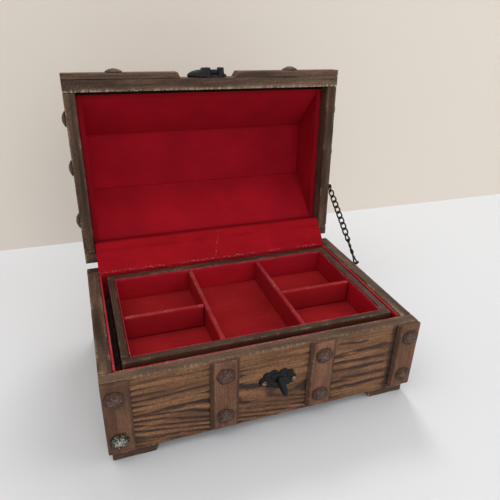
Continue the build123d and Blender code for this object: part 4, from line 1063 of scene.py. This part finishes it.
# The lid's plate, its lugs and a thicker dome on the left, whose profile is in shares of its length and width
LID_PLATE_GAP, LID_PLATE_HALF = 0.8, 12.7 / 2
LID_PLATE_V = LID_PLATE_GAP + LID_PLATE_HALF
LID_RIGHT, DOME_ACROSS, DOME_LENGTH, DOME_WIDTH, DOME_HEIGHT, DOME_FOOT = 12.2, 13.4, 18.0, 10.0, 5.6, 2.6
lid_lobes = [(0, 0, LID_PLATE_HALF), (LID_RIGHT - END_LOBE, 0, END_LOBE)]
for sign in (-1, 1):
    lid_lobes += [(sign * 5.0, LID_PLATE_HALF - 4.6, 4.6), (sign * 5.5, 4.2 - LID_PLATE_HALF, 4.2)]
lid_seat = (LATCH_X, FRONT_U, LID_PLATE_V), *ON_LID_FRONT
lid_plate = cast_plate(lid_lobes, 0.0, 1.9, (0, 0, 5.0, 0.8), [], lid_seat, lid_place, 530)
DOME = [(0, 0), (0.93, 0), (1.0, 1.2), (0.99, 2.2)]
DOME += [(r * 0.96, DOME_FOOT + (DOME_HEIGHT - DOME_FOOT) * (1 - r ** 2.4)) for r in np.linspace(1, 0.1, 12)]
dome_seat = ((LATCH_X - DOME_ACROSS, FRONT_U, LID_PLATE_V), (DOME_LENGTH / 2, 0, 0), (0, 0, DOME_WIDTH / 2),
             (0, 1, 0))
dome = turned(DOME + [(0, DOME_HEIGHT)], 40, dome_seat, lid_place)
LUG_V, LUG_LENGTH, LUG_WIDTH, LUG_HEIGHT, LUG_GAP = 4.2, 6.4, 5.4, 8.0, 3.1


def lug(sign, foot, head):
    """A lug beside the leaf's barrel. Its outer side reaches past its width by foot below and head above."""
    near, far = LATCH_X + sign * LUG_GAP, LATCH_X + sign * (LUG_GAP + LUG_WIDTH)
    corners = corner_grid(lambda i, j, k: (
        far + sign * (head if k else foot) if i else near + sign * 0.2 * k,
        FRONT_U + LUG_HEIGHT * k, LUG_V + (j - 0.5) * (LUG_LENGTH - 0.4 * k)))
    return board(corners, lid_place, (0.7, 0.7, 0.7), cast_relief, 540 + sign, edge=0.8)


make_object("cast_hasp_lid_plate", [lid_plate, dome, lug(-1, 8.5, 1.5), lug(1, 0.4, -0.2)],
            "lid", black_iron, ["hasp_lid_plate"])


# Small nails: copper ones in the latch's base plate, low black ones in the lid's, and one out to the chain

def small_nail(x, y, z, out, mover, seed, high=1.1, radius=1.9):
    profile = [(0, 0), (radius * 0.95, 0), (radius, 0.15), (radius, 0.4)]
    profile += [(radius * r, 0.4 + (high - 0.4) * (1 - r * r)) for r in np.linspace(0.96, 0.1, 8)]
    return turned(profile + [(0, high)], 28, ((x, y, z), *out), mover, seed, 0.15, 0.0, 0.05)


base_nails = [small_nail(LATCH_X + x, PANEL_Y - 1.5, LATCH_Z - 1.3 + z, ON_FRONT, base_place, seed)
              for x, z, seed in ((-11, 0.5, 549), (12, -0.8, 572))]
make_object("nails_base", base_nails, "base", small_nail_metal)
CHAIN_PIN = 0.65
CHAIN_LOW = np.array([26.0, 68.5])
LOW_HEAD = 6.6
LOW_NAIL = [(0, -1), (CHAIN_PIN, -1), (CHAIN_PIN, LOW_HEAD), (1.2, LOW_HEAD), (1.3, LOW_HEAD + 0.3),
            (0.9, LOW_HEAD + 0.6), (0, LOW_HEAD + 0.7)]
make_object("nail_chain_base", [turned(LOW_NAIL, 24, ((HALF_WIDTH, *CHAIN_LOW), *ON_RIGHT), base_place)],
            "base", chain_metal, ["base_nails"])
lid_nails = [small_nail(LATCH_X + x, FRONT_U + out, LID_PLATE_V, ON_LID_FRONT, lid_place, seed, 0.7)
             for x, out, seed in ((-DOME_ACROSS, DOME_HEIGHT - 0.35, 570), (LID_RIGHT - 3.1, 1.6, 571))]
make_object("nails_lid", lid_nails, "lid", black_iron, ["lid_nails"])


# Chain

CHAIN_X, CHAIN_WIRE, CHAIN_SLACK, CHAIN_WIDTH, CHAIN_LINKS, CHAIN_TWIST = 124.8, 1.5, 0.1, 4.3, 14, 0.78
LID_NAIL = (HALF_WIDTH, 49.5, 5.5)
high_end = lid_place(np.array([LID_NAIL])).ravel() * 1000 + ORIGIN
chain_line = high_end[1:] - CHAIN_LOW
span = np.linalg.norm(chain_line)
chain_along = np.array([0, *(chain_line / span)])
lead_extra = (CHAIN_SLACK + CHAIN_WIRE) / 2 - CHAIN_WIRE / 2 - CHAIN_PIN - CHAIN_SLACK
chain_pitch = (span - 2 * lead_extra) / CHAIN_LINKS
half_link = (chain_pitch + CHAIN_WIRE + CHAIN_SLACK) / 2
lead = half_link - CHAIN_WIRE / 2 - CHAIN_PIN - CHAIN_SLACK
link_side = np.cross((1, 0, 0), chain_along)
RING_STEPS, WIRE_STEPS = 40, 10
# How far in from their solids the first links lie, and how much further the last ones
LINK_IN, LAST_LINK_IN = 0.8, 1.1


def link(number, facing):
    """A twisted ring: its middle line is (a cos t, b sin t, h sin 2t) with a power that flattens its sides,
    and its wire a round tube about that line. facing turns it about the chain's line."""
    t = np.arange(RING_STEPS) * 2 * np.pi / RING_STEPS
    cosine, sine = np.cos(t), np.sin(t)
    line = np.stack([half_link * np.sign(cosine) * np.abs(cosine) ** 0.9,
                     CHAIN_WIDTH / 2 * np.sign(sine) * np.abs(sine) ** 0.85,
                     CHAIN_TWIST * np.sin(2 * t)], axis=1)
    forward = np.roll(line, -1, axis=0) - np.roll(line, 1, axis=0)
    forward /= np.linalg.norm(forward, axis=1)[:, None]
    first = np.cross(forward, (0, 0, 1))
    first /= np.linalg.norm(first, axis=1)[:, None]
    second = np.cross(forward, first)
    around = (np.arange(WIRE_STEPS) * 2 * np.pi / WIRE_STEPS)[:, None]
    round_wire = np.cos(around) * first[:, None] + np.sin(around) * second[:, None]
    local = (line[:, None] + CHAIN_WIRE / 2 * round_wire).reshape(-1, 3)
    wide = math.cos(facing) * np.array([1, 0, 0]) + math.sin(facing) * link_side
    flat = np.cross(chain_along, wide)
    inward = LINK_IN + LAST_LINK_IN * step(5, CHAIN_LINKS - 1, number)
    middle = np.array([CHAIN_X - inward, *CHAIN_LOW]) + chain_along * (lead + number * chain_pitch)
    world = base_place(middle + local[:, :1] * chain_along + local[:, 1:2] * wide + local[:, 2:] * flat)
    ids = np.arange(RING_STEPS * WIRE_STEPS).reshape(RING_STEPS, WIRE_STEPS)
    turn = np.roll(ids, -1, axis=1)
    faces = quads(ids, turn, np.roll(turn, -1, axis=0), np.roll(ids, -1, axis=0))
    return world, [faces], plain_fields(local, number * 0.01)


# How far each link is turned about the chain's line, in degrees, where it isn't 5 less its number
FACE_ON = math.radians(31)
LINK_TURNS = {0: -60, 1: -95, 2: -86, 3: -95, 4: -48, 12: 25, 13: 55}
HIGH_FOOT, HIGH_HEAD = 0.9, 3.1
HIGH_NAIL = [(0, HIGH_FOOT), (CHAIN_PIN, HIGH_FOOT), (CHAIN_PIN, HIGH_HEAD), (2.1, HIGH_HEAD),
             (2.2, HIGH_HEAD + 0.4), (1.7, HIGH_HEAD + 0.8), (0.6, HIGH_HEAD + 1.0), (0, HIGH_HEAD + 1.05)]
links = [link(number, FACE_ON + math.radians(LINK_TURNS.get(number, 5 - number)))
         for number in range(CHAIN_LINKS)]
links.append(turned(HIGH_NAIL, 24, ((HALF_WIDTH, *high_end[1:]), *ON_RIGHT), base_place))
for segment in range(CHAIN_LINKS // 2):
    last = 3 if segment == CHAIN_LINKS // 2 - 1 else 2
    make_object(f"links_chain_{segment + 1}", links[2 * segment:2 * segment + last], f"chain_{segment + 1}",
                chain_metal, [f"chain_{segment + 1}"])


# The CAD nodes that stay get the finish of their slot, in Object coordinates

def plain_finish(name, dark, bright, scale, roughness):
    f = Finish(name)
    place = f.own_place()
    cloud = f.noise(place, scale, 4.0)
    fine = f.noise(place, 1800.0, 2.0)
    return f.set(Base_Color=f.mix(cloud.climb(0.35, 0.65), dark, bright), Roughness=roughness + 0.1 * fine,
                 Normal=f.bump(cloud * 0.6 + fine * 0.4, 0.0003, 0.5))


hidden_wood = plain_finish("hidden_wood", (0.07, 0.042, 0.027), (0.13, 0.08, 0.05), (20.0, 300.0, 300.0), 0.6)
hidden_red = plain_finish("hidden_red", (0.190, 0.0045, 0.0100), (0.255, 0.0070, 0.0130),
                          (30.0, 30.0, 30.0), 0.85)
slot_finishes = {"board_wood": hidden_wood, "strap_wood": hidden_wood, "tray_wood": hidden_wood,
                 "red_lining": hidden_red, "domed_nails": small_nail_metal, "small_nails": small_nail_metal,
                 "black_iron": black_iron, "chain_metal": chain_metal, "steel": steel}
slots = {row["node"]: row["material_slot"] for row in frame["record"]["subparts"]}
for name, node in nodes.items():
    node.data.materials.clear()
    node.data.materials.append(slot_finishes[slots[name]])


# Floor, backdrop, light and camera

def plane(name, corners, colour):
    """A plain pale surface, clear from behind so that it never stands before the chest."""
    f = Finish(name)
    behind = f.node("ShaderNodeNewGeometry", {}, {}, "Backfacing")
    f.set(Base_Color=colour, Roughness=0.9, Specular_IOR_Level=0.1, Alpha=1 - behind)
    mesh = bpy.data.meshes.new(name)
    mesh.from_pydata(corners, [], [(0, 1, 2, 3)])
    mesh.materials.append(f.material)
    piece = bpy.data.objects.new(name, mesh)
    bpy.context.scene.collection.objects.link(piece)
    return piece


# In metres, as all places of the room
WALL_Y, ROOM_HALF, WALL_LOW, WALL_HIGH = 0.262, 3, -0.5, 2.5
plane("table_top", [(-ROOM_HALF, -ROOM_HALF, 0), (ROOM_HALF, -ROOM_HALF, 0),
                    (ROOM_HALF, WALL_Y, 0), (-ROOM_HALF, WALL_Y, 0)], (0.715, 0.728, 0.750))
wall = plane("room_wall", [(-ROOM_HALF, WALL_Y, WALL_LOW), (ROOM_HALF, WALL_Y, WALL_LOW),
                           (ROOM_HALF, WALL_Y, WALL_HIGH), (-ROOM_HALF, WALL_Y, WALL_HIGH)],
             (0.80, 0.733, 0.655))
wall.visible_shadow = False

world = bpy.data.worlds.new("room")
world.use_nodes = True
background = world.node_tree.nodes["Background"]
background.inputs["Color"].default_value = (0.97, 0.98, 1.0, 1)
background.inputs["Strength"].default_value = 0.56
bpy.context.scene.world = world

# Lamps: name, place, target, size, power and blue share
for name, place, target, size, power, blue in (
        ("window", (1.6, -0.8, 1.2), (0, 0, 0.05), 1.2, 8.0, 0.97),
        ("ceiling", (-0.9, -0.3, 1.8), (0, 0, 0.1), 1.3, 9.0, 0.97),
        ("room_side", (0.1, -1.7, 0.8), (0, 0, 0.1), 1.0, 6.6, 0.98),
        ("back_window", (0.7, 2.3, 2.8), (-0.1, 0, 0), 0.9, 38.0, 0.97)):
    data = bpy.data.lights.new(name, "AREA")
    data.size, data.energy, data.color = size, power, (1.0, 0.99, blue)
    made = bpy.data.objects.new(name, data)
    made.location = place
    made.rotation_euler = (Vector(target) - Vector(place)).to_track_quat("-Z", "Y").to_euler()
    bpy.context.scene.collection.objects.link(made)

# The camera as it fits the photograph: its place, its direction with a slight roll, and its lens
AZIMUTH, ELEVATION, ROLL = math.radians(-20.04), math.radians(26.75), math.radians(1.76)
CAMERA_PLACE = (-0.11517, -0.356425, 0.286)
data = bpy.data.cameras.new("camera")
data.sensor_width = 36.0
data.lens = 34.93
camera = bpy.data.objects.new("camera", data)
level = math.cos(ELEVATION)
back = Vector((math.sin(AZIMUTH) * level, -math.cos(AZIMUTH) * level, math.sin(ELEVATION)))
right = Vector((math.cos(AZIMUTH), math.sin(AZIMUTH), 0))
up = back.cross(right)
right, up = right * math.cos(ROLL) + up * math.sin(ROLL), up * math.cos(ROLL) - right * math.sin(ROLL)
turned_to = Matrix((right, up, back)).transposed().to_4x4()
camera.matrix_world = Matrix.Translation(Vector(CAMERA_PLACE)) @ turned_to
bpy.context.scene.collection.objects.link(camera)
bpy.context.scene.camera = camera
bpy.context.scene.view_settings.view_transform = "Standard"

tuple(hinge_start)
tuple(hinge_end)
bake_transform(hinge_cloth)
